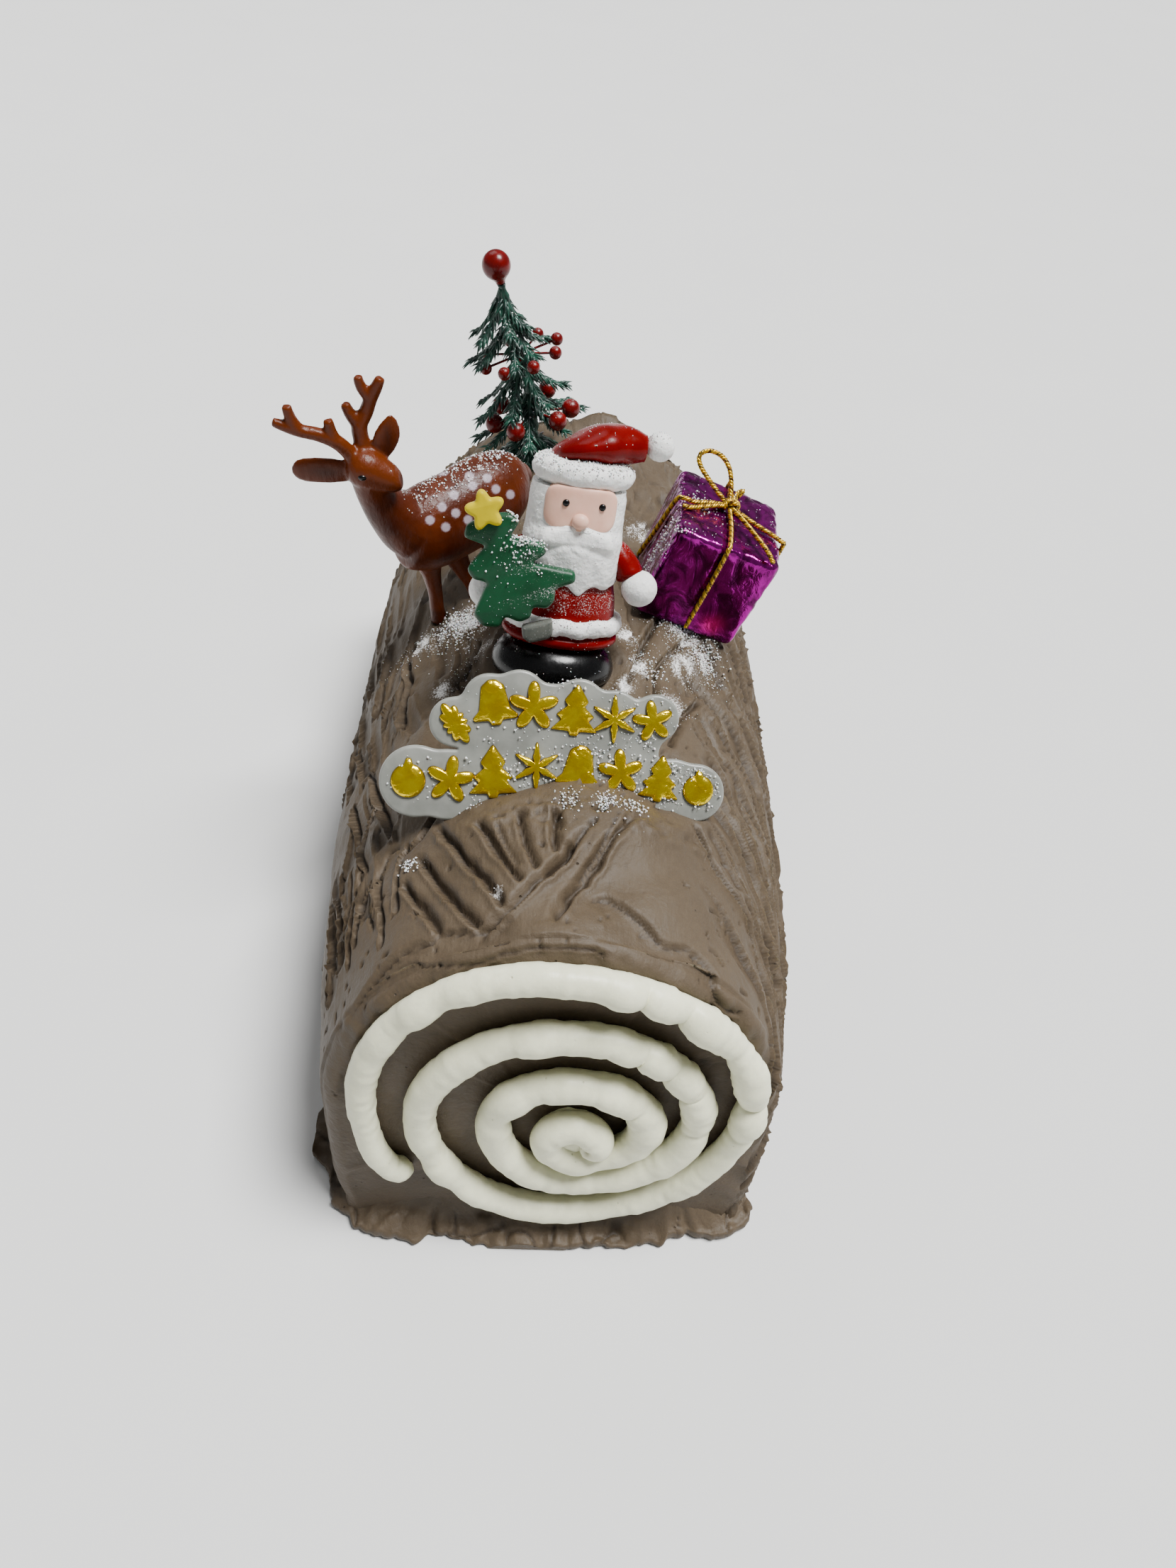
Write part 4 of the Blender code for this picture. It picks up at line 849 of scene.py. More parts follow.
@dataclass
class CreamLog(SubAssembly):
    """The buttercream log, one closed surface from face to face with every pull of the knife in it."""
    front_y: float = -112.0
    length: float = 222.0
    height: float = 98.0
    back_drop: float = 4.0
    middle_half: float = 57.5
    end_half: float = 50.0
    waist: float = 0.46
    lean: tuple[float, float] = (0.15, -0.05)
    edge: float = 3.0
    hem: tuple[tuple[float, float, float, float], ...] = (
        (-49.0, 95.0, -40.0, 93.0), (-55.0, 50.0, -47.0, 50.0), (-57.0, 0.0, -49.0, 0.0),
        (-57.0, -40.0, -48.0, -40.0), (-56.0, -72.0, -46.0, -70.0), (-61.5, -91.0, -43.5, -90.0),
        (-61.0, -98.0, -42.5, -97.0), (-56.0, -104.0, -41.5, -102.0), (-54.5, -111.0, -40.0, -106.5),
        (-48.0, -116.0, -37.5, -108.5), (-36.0, -118.0, -31.0, -109.5), (-21.0, -120.5, -20.0, -110.0),
        (-4.0, -121.0, -4.0, -110.0), (6.0, -119.5, 6.0, -110.0), (16.5, -118.5, 16.0, -110.0),
        (23.5, -117.4, 23.0, -110.0), (29.7, -118.5, 29.0, -110.0), (39.0, -117.0, 34.0, -109.0),
        (48.0, -115.0, 38.5, -107.5), (54.0, -107.0, 41.5, -102.0), (56.5, -95.0, 42.5, -92.0),
        (56.0, -70.0, 45.0, -70.0), (57.0, -40.0, 47.0, -40.0), (57.8, 0.0, 48.0, 0.0),
        (55.5, 50.0, 47.0, 50.0), (49.5, 95.0, 40.0, 93.0), (45.0, 112.0, 37.0, 103.0),
        (20.0, 117.0, 20.0, 106.0), (-20.0, 117.0, -20.0, 106.0), (-45.0, 112.0, -37.0, 103.0))
    hem_stations: int = 1300
    sugar_spots: tuple[tuple[float, float, float], ...] = (
        (27.9, 7.1, 7.0), (34.0, -2.0, 6.0), (-27.8, 4.0, 8.0), (-41.5, 4.6, 6.0), (18.2, -13.9, 4.0),
        (15.4, -2.7, 5.0), (13.7, -22.3, 4.0), (-24.2, -8.0, 5.0), (-22.0, -57.0, 4.0), (25.7, -24.2, 5.0),
        (-32.8, -19.1, 4.0), (-33.0, -70.0, 2.0), (-8.0, 60.0, 9.0), (20.0, 45.0, 7.0), (-14.2, -83.0, 1.5),
        (30.0, -9.0, 5.0))

    def build(self) -> None:
        """Lay the grid, work the cream and keep the log."""
        grid, facing = self.grid()
        shape = Shape.lattice(grid)
        flat = shape.points[:facing.size]
        run = self.run_over(grid)
        x, y, z = flat.T
        top, faces = facing.ravel() < 0.5, facing.ravel() >= 0.5
        relief = np.zeros(len(flat))
        relief[top] = self.bark(run.ravel()[top], y[top], z[top])
        relief[faces] = self.face_work(x[faces], z[faces], y[faces] < 0.0)
        relief *= step(z, 0.0, 6.0)
        shape.swollen(np.concatenate([relief, [0.0, 0.0]]))
        low_corner, high_corner = (np.array(corner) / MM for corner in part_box("log_body"))
        shape.points = np.clip(shape.points, low_corner + 0.05, high_corner - 0.05)
        self.mark_crease_shade(shape, relief.reshape(facing.shape))
        hem = self.torn_hem()
        hem.points = np.clip(hem.points, low_corner + 0.05, high_corner - 0.05)
        dust = sum(bump(np.hypot(run.ravel() - a, y - b), size) for a, b, size in self.sugar_spots)
        dust = dust * (0.55 + 0.45 * noise(62, x / 2.2, y / 2.2)) * step(z, 66.0, 80.0)
        shape.marked("dust", np.concatenate([np.clip(dust, 0.0, 0.9) * 0.95, [0.0, 0.0]]))
        self.add("log_cream", shape, MOCHA, "log_body")
        self.add("hem_cream", hem, MOCHA)

    def torn_hem(self) -> Shape:
        """The torn lip of cream round the foot: a strip from inside the log out to a ragged edge.

        Its top rises from the edge to the wall with the square of the way in, and it is cracked where a
        noise crosses zero.
        """
        line = evened(np.array(self.hem), self.hem_stations, closed=True)
        edge, foot = line[:, :2], line[:, 2:]
        x, y = edge.T
        torn = (1.5 * np.tanh(3.0 * noise(77, x / 8.5, y / 8.5)) + 0.6 * np.tanh(2.5 * noise(78, x / 3.4, y / 3.4))
                + 0.4 * noise(79, x / 1.2, y / 1.2) - 1.6)
        way = edge - foot
        way = way * (1.0 + torn / np.linalg.norm(way, axis=1))[:, None]
        thick = (2.6 + 1.4 * noise(80, x / 7.0, y / 7.0) + 0.5 * noise(81, x / 2.2, y / 2.2))[:, None]
        across = np.concatenate([np.linspace(0.0, 0.95, 5), [0.98, 1.0, 0.99, 0.965, 0.935],
                                 np.linspace(0.90, 0.0, 22)])
        up = np.concatenate([np.zeros(5), [0.12, 0.42, 0.75, 0.93, 1.0], np.ones(22)])
        grid = foot[:, None] + way[:, None] * across[:, None]
        x, y = np.moveaxis(grid, -1, 0)
        z = 0.06 + up * (thick + (10.5 - thick) * (1.0 - across) ** 2)
        lumps = 1.1 * noise(82, x / 4.6, y / 4.6) + 0.35 * noise(83, x / 1.9, y / 1.9)
        crack = bump(noise(84, x / 6.0, y / 6.0), 0.09) * step(across, 0.25, 0.5)
        z = np.maximum(z + up * (lumps * step(across, 0.0, 0.35) - 0.9 * crack), 0.06)
        shape = Shape.lattice(np.concatenate([grid, z[..., None]], axis=-1), (True, True), poles=False)
        # painted shade along the cracks
        return shape.marked("groove", (0.7 * crack * up).ravel()).marked("dust", 0.0)

    def half_width(self, s: Array) -> Array:
        """Half width at s, 0 at the front and 1 at the back: the ends are narrower."""
        return self.middle_half - (self.middle_half - self.end_half) * np.abs(2.0 * s - 1.0) ** 2.8

    def full_height(self, s: Array) -> Array:
        """Height at s, which drops with the cube of s."""
        return self.height - self.back_drop * s ** 3

    def half_section(self, s: Array, side: float, hem: Array) -> Array:
        """One side of the section at each s, from the underside up to the ridge.

        A flat underside, a thin hem that curves up into the flank, a flank after a superellipse of the
        sixth power, and an elliptic top.

        Args:
            s: Place along the log, one for each row.
            side: 1 for the right, -1 for the left.
            hem: How much of the hem each row has, 0 to 1.

        Returns:
            (x, z) of each point, (rows, columns, 2).
        """
        width, height = self.half_width(s)[:, None], self.full_height(s)[:, None]
        waist = self.waist * height
        flank = lambda part: width * (1.0 - (part / 1.12) ** 6) ** (1.0 / 6.0)
        edge = flank(1.0) + (1.5 * hem)[:, None]
        under = np.array([0.4, 0.75, 0.92, 1.0]) * edge
        t = np.linspace(0.0, 1.0, 7)[1:]
        lip = 2.0
        lip_x = flank(0.85) + (edge - flank(0.85)) * (1.0 - t) ** 1.7
        lip_z = lip * np.sqrt(np.clip(t / 0.2, 0.0, 1.0)) + (0.15 * waist - lip) * t ** 2
        part = np.linspace(0.85, 0.0, 37)[1:]
        turn = np.linspace(0.0, 0.5 * pi, 156)[1:-1]
        x = np.concatenate([under, lip_x, flank(part), width * np.cos(turn)], axis=1)
        z = np.concatenate([0.0 * under, lip_z, waist * (1.0 - part),
                            waist + (height - waist) * np.sin(turn)], axis=1)
        return np.stack([side * x, z], axis=-1)

    def grid(self) -> tuple[Array, Array]:
        """The smooth log's points, row by row from the front face's middle to the back face's.

        Returns:
            The points (rows, columns, 3), and for each whether it lies on an end face.
        """
        rim = np.linspace(0.0, 1.0, 11)[1:]
        base = np.concatenate([np.linspace(-108.5, -52.0, 90), np.linspace(-51.0, 20.0, 62),
                               np.linspace(21.7, 107.0, 44)])
        front, back = np.linspace(0.03, 0.93, 18), np.linspace(0.93, 0.03, 8)
        turn = 0.5 * pi * rim
        zero, body = np.zeros_like, (base - self.front_y) / self.length
        s = np.concatenate([zero(front), zero(rim), body, zero(rim) + 1.0, zero(back) + 1.0])
        scale = np.concatenate([front, 0.93 + 0.07 * np.sin(turn), zero(base) + 1.0,
                                (0.93 + 0.07 * np.sin(turn))[::-1], back])
        depth = np.concatenate([zero(front), self.edge * (1.0 - np.cos(turn)), zero(base),
                                -self.edge * (1.0 - np.cos(turn))[::-1], zero(back)])
        push = np.concatenate([zero(front), rim, zero(base), rim[::-1], zero(back)])
        hem = np.concatenate([zero(front), rim, zero(base) + 1.0, rim[::-1], zero(back)])
        right, left = self.half_section(s, 1.0, hem), self.half_section(s, -1.0, hem)
        middle = np.zeros((len(s), 1, 2))
        ridge = np.stack([zero(s), self.full_height(s)], axis=-1)[:, None]
        section = np.concatenate([middle, right, ridge, left[:, ::-1]], axis=1)
        waist = (self.waist * self.full_height(s))[:, None]
        flat_z = section[..., 1]
        x = section[..., 0] * scale[:, None]
        z = waist + (flat_z - waist) * scale[:, None]
        low = step(-flat_z, -6.5, -2.4)
        lip = 2.4
        q = push[:, None]
        fall = np.sqrt(np.clip(1.0 - np.clip((q - 0.72) / 0.28, 0.0, 1.0) ** 2, 0.0, 1.0))
        flange = (3.16 + (lip - 3.16) * np.clip(q / 0.5, 0.0, 1.0)) * fall
        z = np.where(q > 0.0, z + low * (flange - z), z)
        lean = self.lean[0] * (1.0 - s) + self.lean[1] * s
        y = (self.front_y + s * self.length + depth)[:, None] + lean[:, None] * z
        y += low * step(q, 0.0, 0.85) * np.where(s[:, None] < 0.5, -1.5, 1.5)
        lift = np.where((s > 0.005) & (s < 0.995), 1.0, 0.0)[:, None] * self.pushed_up(x, y)
        z = z + lift * np.clip((z - 50.0) / 30.0, 0.0, 1.0)
        facing = np.broadcast_to(((scale < 0.94) & (push == 0.0))[:, None], x.shape).astype(float)
        return np.stack([x, y, z], axis=-1), facing

    @staticmethod
    def pushed_up(x: Array, y: Array) -> Array:
        """Cream heaped round the toppers: bumps in front of the plaque, round the boots, under the parcel."""
        drags = 0.7 * np.sin(0.21 * x + 0.11 * y) + 0.5 * np.sin(0.33 * y - 0.17 * x + 1.0)
        mound = 3.0 * np.exp(-((x - 4.0) / 19.0) ** 2 - ((y + 66.0) / 8.0) ** 2)
        ring = ((x + 4.0) / 17.5) ** 2 + ((y + 18.0) / 16.0) ** 2
        collar = 1.6 * np.exp(-((ring - 1.0) / 0.35) ** 2)
        bed = 8.5 * np.exp(-((x - 40.0) / 11.0) ** 2 - ((y - 18.0) / 15.0) ** 2)
        back = 3.2 * np.exp(-((x - 9.0) / 9.0) ** 2 - ((y - 102.0) / 6.0) ** 2)
        fold = 2.2 * np.exp(-((x - 24.0) / 6.0) ** 2 - ((y - 2.0) / 10.0) ** 2)
        return drags + mound + collar + bed + back + fold

    @staticmethod
    def run_over(grid: Array) -> Array:
        """Each point's distance from the ridge, measured over the surface, negative on the left."""
        gaps = np.linalg.norm(np.diff(grid[..., [0, 2]], axis=1), axis=2)
        run = np.concatenate([np.zeros((len(grid), 1)), np.cumsum(gaps, axis=1)], axis=1)
        ridge = grid.shape[1] // 2
        return run[:, ridge:ridge + 1] - run

    def bark(self, across: Array, along: Array, height: Array) -> Array:
        """The relief of the top and flanks: patches of knife work, then single cuts and ledges."""
        relief = 0.3 * noise(1, across / 7.0, along / 9.0)
        patches = (
            KnifeWork((-120.0, 120.0), (-40.0, 110.0), 90.0, 9.0, 150, (30.0, 65.0), (2.8, 5.2), 1.4, 0.6, 2, 11),
            KnifeWork((-60.0, 60.0), (-30.0, 100.0), 80.0, 22.0, 50, (18.0, 38.0), (3.0, 5.8), 1.4, 0.65, 2, 12),
            KnifeWork((-112.0, -58.0), (-110.0, 90.0), 92.0, 4.5, 60, (25.0, 55.0), (2.2, 4.2), 1.5, 0.65, 1, 13),
            KnifeWork((-62.0, -38.0), (-88.0, -20.0), 106.0, 7.0, 22, (16.0, 32.0), (2.2, 3.8), 1.6, 0.65, 1, 14),
            KnifeWork((24.0, 72.0), (-90.0, 80.0), -46.0, 3.5, 80, (40.0, 70.0), (2.6, 4.2), 2.1, 0.9, 1, 15),
            KnifeWork((60.0, 112.0), (-108.0, 90.0), -66.0, 5.0, 70, (34.0, 65.0), (2.8, 4.8), 1.4, 0.5, 1, 16),
            KnifeWork((-24.0, 30.0), (-60.0, -30.0), 70.0, 22.0, 22, (10.0, 20.0), (2.2, 4.0), 1.4, 0.6, 1, 17))
        for patch in patches:
            patch.pull(relief, across, along)
        calm = bump(np.hypot((across - 23.0) / 18.0, (along + 78.0) / 15.0), 1.0)
        rim = step(-along, 84.0, 96.0) * step(height, 55.0, 75.0)
        wing = bump((across + 12.0) / 26.0, 1.0) * bump((along + 80.0) / 17.0, 1.0) * 0.8
        relief *= 1.0 - np.clip(calm + rim * 0.85 + wing, 0.0, 0.93)
        for cut in self.cuts():
            relief += cut.pressed(across, along)
        rough = noise(2, across / 2.8, along / 2.2)
        lip = bump((along + 99.5) / 2.6, 1.0) * step(height, 60.0, 80.0)
        relief += lip * (0.8 + 0.6 * rough) + 0.08 * rough
        torn = bump((along + 64.0) / 3.2, 1.0) * bump((across - 5.0) / 21.0, 1.0)
        relief += 1.7 * torn * (noise(6, across / 2.6, along / 1.9) + 0.5 * noise(7, across / 1.3, along / 1.4))
        pits = noise(4, across / 1.7, along / 1.9)
        return relief - 0.7 * step(pits, 0.86, 0.96) * (1.0 - calm)

    @staticmethod
    def cuts() -> tuple[Cut, ...]:
        """The single marks: four grooves that end on a slanting ridge, a V beside it, flaps and creases."""
        grooves = [Cut(line, 1.15, 2.1, 0.7) for line in (
            ((-31.0, -62.0), (-20.5, -76.0), (-12.1, -87.7)), ((-35.0, -68.0), (-25.0, -82.0), (-17.2, -91.0)),
            ((-20.5, -64.5), (-14.1, -74.8), (-9.3, -82.0)), ((-11.0, -63.0), (-8.8, -72.0), (-6.5, -79.0)),
            ((-38.0, -74.0), (-31.5, -83.0), (-25.5, -90.5)), ((-3.0, -62.0), (-3.5, -68.0), (-2.5, -74.5)))]
        ridge = [Cut(((-18.5, -93.0), (-12.1, -88.6), (-7.1, -83.2), (-0.8, -76.4), (4.5, -68.0), (9.0, -61.0)),
                     1.2, 1.7, 1.0, -0.5),
                 Cut(((-2.7, -91.5), (1.0, -84.0), (4.5, -79.3), (9.5, -71.0), (13.9, -64.0)), 1.3, 2.3, 0.8),
                 Cut(((2.0, -81.0), (7.5, -71.5), (11.7, -62.0)), 0.8, 1.2, 0.5),
                 Cut(((-4.0, -80.5), (-0.5, -75.5), (1.0, -72.0)), 1.3, 2.4, 0.3),
                 Cut(((6.5, -63.5), (9.5, -58.5)), 1.3, 2.0, 0.3),
                 Cut(((-15.5, -66.0), (-12.2, -73.5), (-9.8, -78.0)), 0.7, 0.9, 0.4)]
        ledges = [Cut(((3.6, -85.7), (6.7, -83.6), (8.9, -83.9), (15.6, -88.8), (20.2, -92.0), (25.3, -91.5),
                       (29.0, -93.1), (31.8, -95.3), (33.4, -98.4), (38.0, -99.3), (44.0, -98.7)),
                      0.6, 0.9, 0.35, 1.3),
                  Cut(((-52.0, -99.5), (-42.2, -95.3), (-33.2, -92.0), (-28.0, -91.9), (-26.1, -90.2),
                       (-21.8, -90.6), (-16.8, -91.0), (-9.0, -89.6)), 0.6, 0.8, 0.5, 1.2),
                  Cut(((-41.0, -97.0), (-33.4, -95.0), (-29.0, -96.5), (-18.5, -97.8), (-10.0, -96.6),
                       (2.4, -96.2), (10.4, -97.0)), 0.5, 0.6, 0.45, 0.8)]
        strokes = [Cut(line, 0.7, 1.9, 0.7, 0.9) for line in (
            ((28.0, -57.5), (36.9, -66.8), (45.9, -75.9), (52.5, -84.0), (60.0, -92.0)),
            ((34.0, -54.0), (46.3, -64.6), (55.7, -75.0), (64.0, -86.0)),
            ((38.7, -46.5), (50.8, -59.1), (60.0, -71.0), (69.0, -84.0)),
            ((45.5, -35.0), (56.0, -50.0), (66.0, -64.0), (76.0, -80.0)),
            ((50.0, -20.0), (62.0, -38.0), (73.0, -56.0), (84.0, -74.0)))]
        slits = [Cut(line, 0.75, 1.8, 0.55) for line in (
            ((-37.8, -63.0), (-39.6, -68.0), (-38.8, -75.0), (-38.4, -82.0)),
            ((-57.0, -60.0), (-57.7, -71.0), (-59.0, -84.0)), ((-53.0, -62.0), (-53.8, -74.0), (-54.4, -88.0)),
            ((-48.5, -68.0), (-50.6, -76.0), (-52.0, -84.0)), ((-46.0, -68.5), (-43.0, -79.0), (-41.4, -89.0)),
            ((-44.5, -84.0), (-46.5, -71.0), (-43.5, -64.5), (-40.3, -63.6)),
            ((-62.0, -58.0), (-62.5, -70.0), (-63.5, -82.0)), ((-67.0, -64.0), (-67.5, -76.0), (-68.5, -90.0)),
            ((-58.5, -30.0), (-52.0, -42.0), (-47.7, -50.7), (-42.5, -60.0)),
            ((-49.0, -44.0), (-54.0, -56.0), (-50.5, -66.0)), ((-63.0, -38.0), (-58.0, -48.0), (-56.0, -58.0)),
            ((-34.0, -82.5), (-32.0, -84.5)), ((-30.0, -58.0), (-35.5, -64.0), (-38.5, -66.0)))]
        creases = [Cut(line, 1.1, 2.9, 0.9) for line in (
            ((32.3, 5.1), (24.9, -7.4), (21.9, -15.8), (20.2, -26.0)), ((35.3, -14.3), (29.2, -25.3), (23.2, -38.2)),
            ((25.2, 10.4), (19.4, 0.8), (17.7, -9.0), (14.3, -19.6), (10.7, -25.0)),
            ((33.8, -21.5), (37.4, -24.5), (43.5, -33.0)), ((36.2, -12.8), (41.5, -17.8), (46.0, -24.0)),
            ((-28.9, -18.4), (-26.6, -23.0), (-25.0, -28.5)), ((-47.2, 9.0), (-46.3, -3.2), (-45.0, -28.0)),
            ((-24.4, -3.0), (-28.1, -13.6), (-31.0, -20.0)), ((39.4, 4.0), (47.4, -6.0), (52.0, -20.0)))]
        chips = [Cut(line, 0.55, 0.9, 0.35) for line in (
            ((32.1, -79.8), (35.5, -79.6), (37.2, -81.5)), ((30.9, -89.6), (33.5, -89.8), (35.1, -92.0)),
            ((34.4, -83.2), (36.2, -84.2)), ((30.5, -85.5), (32.0, -87.5)), ((25.0, -76.0), (27.0, -76.8)))]
        return (*grooves, *ridge, *ledges, *strokes, *slits, *creases, *chips)

    @staticmethod
    def face_work(x: Array, z: Array, front: Array) -> Array:
        """The relief of the end faces: long flat pulls of the knife, and torn flaps near the front's rim."""
        relief = 0.25 * noise(20, x / 9.0, z / 9.0)
        for seed, angle in ((21, 30.0), (22, -25.0)):
            KnifeWork((-50.0, 40.0), (5.0, 90.0), angle, 24.0, 26, (25.0, 55.0), (5.0, 11.0),
                      0.45, 0.28, 1, seed).pull(relief, x, z)
        flaps = (Cut(((20.0, 86.3), (26.9, 87.2), (31.2, 87.6)), 0.5, 0.6, 0.5, 0.9),
                 Cut(((31.7, 86.3), (34.4, 82.5), (36.6, 79.7), (36.4, 75.2), (35.7, 71.7)), 0.5, 0.6, 0.5, 0.9),
                 Cut(((37.6, 83.5), (37.3, 79.4), (37.0, 75.3), (36.8, 70.0)), 0.4, 0.5, 0.4, 0.7),
                 Cut(((28.0, 59.5), (30.2, 66.4)), 0.4, 0.5, 0.3, 0.6),
                 Cut(((-44.0, 30.0), (-30.0, 20.0), (-14.0, 17.0)), 0.5, 0.6, 0.4, 0.7))
        torn = sum(flap.pressed(x, z) for flap in flaps)
        rough = noise(23, x / 1.6, z / 1.6)
        return relief + np.where(front, torn, 0.0) + 0.08 * rough

    @staticmethod
    def mark_crease_shade(shape: Shape, relief: Array) -> None:
        """Mark painted shade where the cream lies lower than its surroundings: its depth below a blurred relief."""
        wide = relief
        for axis in (0, 1):
            wide = sum(np.roll(wide, k, axis=axis) for k in range(-2, 3)) / 5.0
        groove = np.clip((wide - relief - 0.07) / 0.45, 0.0, 1.0)
        shape.marked("groove", np.concatenate([0.75 * groove.ravel(), [0.0, 0.0]]))


@dataclass
class PipedSpiral(SubAssembly):
    """A rope of vanilla cream piped on a face: quarter ellipses between the outermost points of its turns."""
    node: str = "front_spiral"
    face_y: float = -112.0
    lean: float = 0.15
    outward: float = -1.0
    size: float = 1.0
    axis_height: float = 45.08
    tail: tuple[float, float] = (-34.0, 26.5)
    turns: tuple[tuple[float, float], ...] = (
        (-41.0, 52.0), (-3.0, 93.5), (42.4, 54.0), (4.0, 11.8), (-28.7, 47.0), (2.0, 76.4), (31.5, 50.0),
        (6.0, 24.8), (-12.8, 47.0), (3.5, 60.7), (20.6, 47.5), (8.0, 34.8), (-0.9, 42.0), (5.0, 47.2),
        (9.6, 43.2), (6.4, 40.6), (5.4, 42.4))
    core: tuple[float, float] = (4.2, 41.4)
    radius: float = 3.15
    swell: float = 0.75
    stations: int = 760

    def build(self) -> None:
        """Pipe the rope and keep it."""
        line = evened(self.line(), self.stations)
        x, z = line.T
        t = np.linspace(0.0, 1.0, self.stations)
        run = t * np.linalg.norm(np.diff(line, axis=0), axis=1).sum()
        lumpy = step(x * self.size, 4.0, 16.0) * step(z, 38.0, 52.0)
        pitch = np.where(t < 0.36, 14.0, 10.0)
        beads = np.where(t < 0.36, 1.1, 0.8) * np.abs(np.sin(pi * run / pitch + 0.9 * np.sin(run / 9.0))) ** 0.9 - 0.45
        radius = self.radius + self.swell * t + 0.30 * noise(31, run / 6.0, 0.0 * run) + lumpy * beads
        radius *= np.sqrt(np.clip(run / 3.2, 0.0, 1.0)) * (1.0 - 0.75 * step(t, 0.985, 1.0) ** 2)
        tip = step(t, 0.978, 1.0)
        depth = 0.86 * radius + 0.8 * step(t, 0.93, 0.975) + 3.6 * tip ** 2
        x = self.size * x + 2.0 * tip ** 2
        z = self.axis_height + self.size * (z - self.axis_height) + 0.6 * tip ** 2
        y = self.face_y + self.lean * z + self.outward * depth
        shape = swept(np.stack([-self.outward * x, y, z], axis=1), np.maximum(radius, 0.35), 28,
                      0.96, (0.0, self.outward, 0.0))
        around = np.tile(np.arange(28) / 28.0, self.stations)
        along = np.repeat(run, 28)
        squeeze = 0.16 * noise(33, along / 1.7, around * 5.0) + 0.10 * noise(34, along / 4.5, around * 3.0)
        ridges = 0.22 * np.repeat(lumpy, 28) * noise(35, along / 1.1, around * 4.0)
        shape.swollen(np.concatenate([squeeze + ridges, [0.0, 0.0]]))
        core = self.axis_height + self.size * (self.core[1] - self.axis_height)
        middle = rounded_ball((-self.outward * self.size * self.core[0], self.face_y + self.lean * core, core),
                              (6.6 * self.size, 5.6, 6.2 * self.size), 64).crumbly(36, 3.0, 0.3)
        shape = Shape.joined([shape, middle]).marked("groove", 0.0).marked("dust", 0.0)
        self.add(self.node + "_cream", shape, VANILLA, self.node)

    def line(self) -> Array:
        """The rope's middle line on the face: it is upright at its turns' sides and level at their tops."""
        stops = np.array((self.tail,) + self.turns)
        turn = np.linspace(0.0, 0.5 * pi, 24)[1:]
        pieces = [np.array([(self.tail[0] + 2.6, self.tail[1] - 2.4), self.tail])]
        for number, (a, b) in enumerate(zip(stops, stops[1:])):
            if number % 2 == 0:
                pieces.append(np.stack([a[0] + (b[0] - a[0]) * np.sin(turn),
                                        b[1] + (a[1] - b[1]) * np.cos(turn)], axis=1))
            else:
                pieces.append(np.stack([b[0] + (a[0] - b[0]) * np.cos(turn),
                                        a[1] + (b[1] - a[1]) * np.sin(turn)], axis=1))
        return np.concatenate(pieces)


class Motif(Enum):
    """A stamped Christmas shape on the plaque."""
    STAR = "star"
    FLAKE = "snowflake"
    HOLLY = "holly leaf"
    BAUBLE = "bauble"
    BELL = "bell"
    TREE = "fir tree"

    def outline(self) -> Array:
        """The shape about its middle, reaching about 1: a radius that follows the angle, or a few points."""
        turn = np.linspace(0.0, 2.0 * pi, 180, endpoint=False)
        up = turn + 0.5 * pi
        if self is Motif.STAR:
            radius = 0.43 + 0.62 * np.abs(np.cos(2.5 * turn)) ** 1.5
        elif self is Motif.FLAKE:
            radius = 0.34 + 0.66 * np.abs(np.cos(3.0 * turn)) ** 3 + 0.08 * np.cos(18.0 * turn)
        elif self is Motif.HOLLY:
            oval = 1.0 / np.hypot(np.cos(turn - 0.6), np.sin(turn - 0.6) / 0.52)
            radius = 1.08 * oval * (0.76 + 0.24 * np.abs(np.cos(5.0 * turn)))
        elif self is Motif.BAUBLE:
            radius = 0.80 + 0.26 * np.exp(-((turn - pi * np.round(turn / pi / 2.0) * 2.0) / 0.2) ** 4)
        else:
            half = {Motif.BELL: ((0.16, 1.0), (0.5, 0.74), (0.6, 0.2), (0.7, -0.3), (1.0, -0.6), (0.95, -0.76),
                                 (0.3, -0.78), (0.2, -1.0)),
                    Motif.TREE: ((0.04, 1.05), (0.5, 0.38), (0.34, 0.18), (0.78, -0.2), (0.55, -0.38),
                                 (0.95, -0.82), (0.2, -0.84), (0.17, -1.02))}[self]
            return softened(np.array(half + tuple((-x, z) for x, z in half[::-1])), 180, 4)
        return np.stack([radius * np.cos(up), radius * np.sin(up)], axis=1)


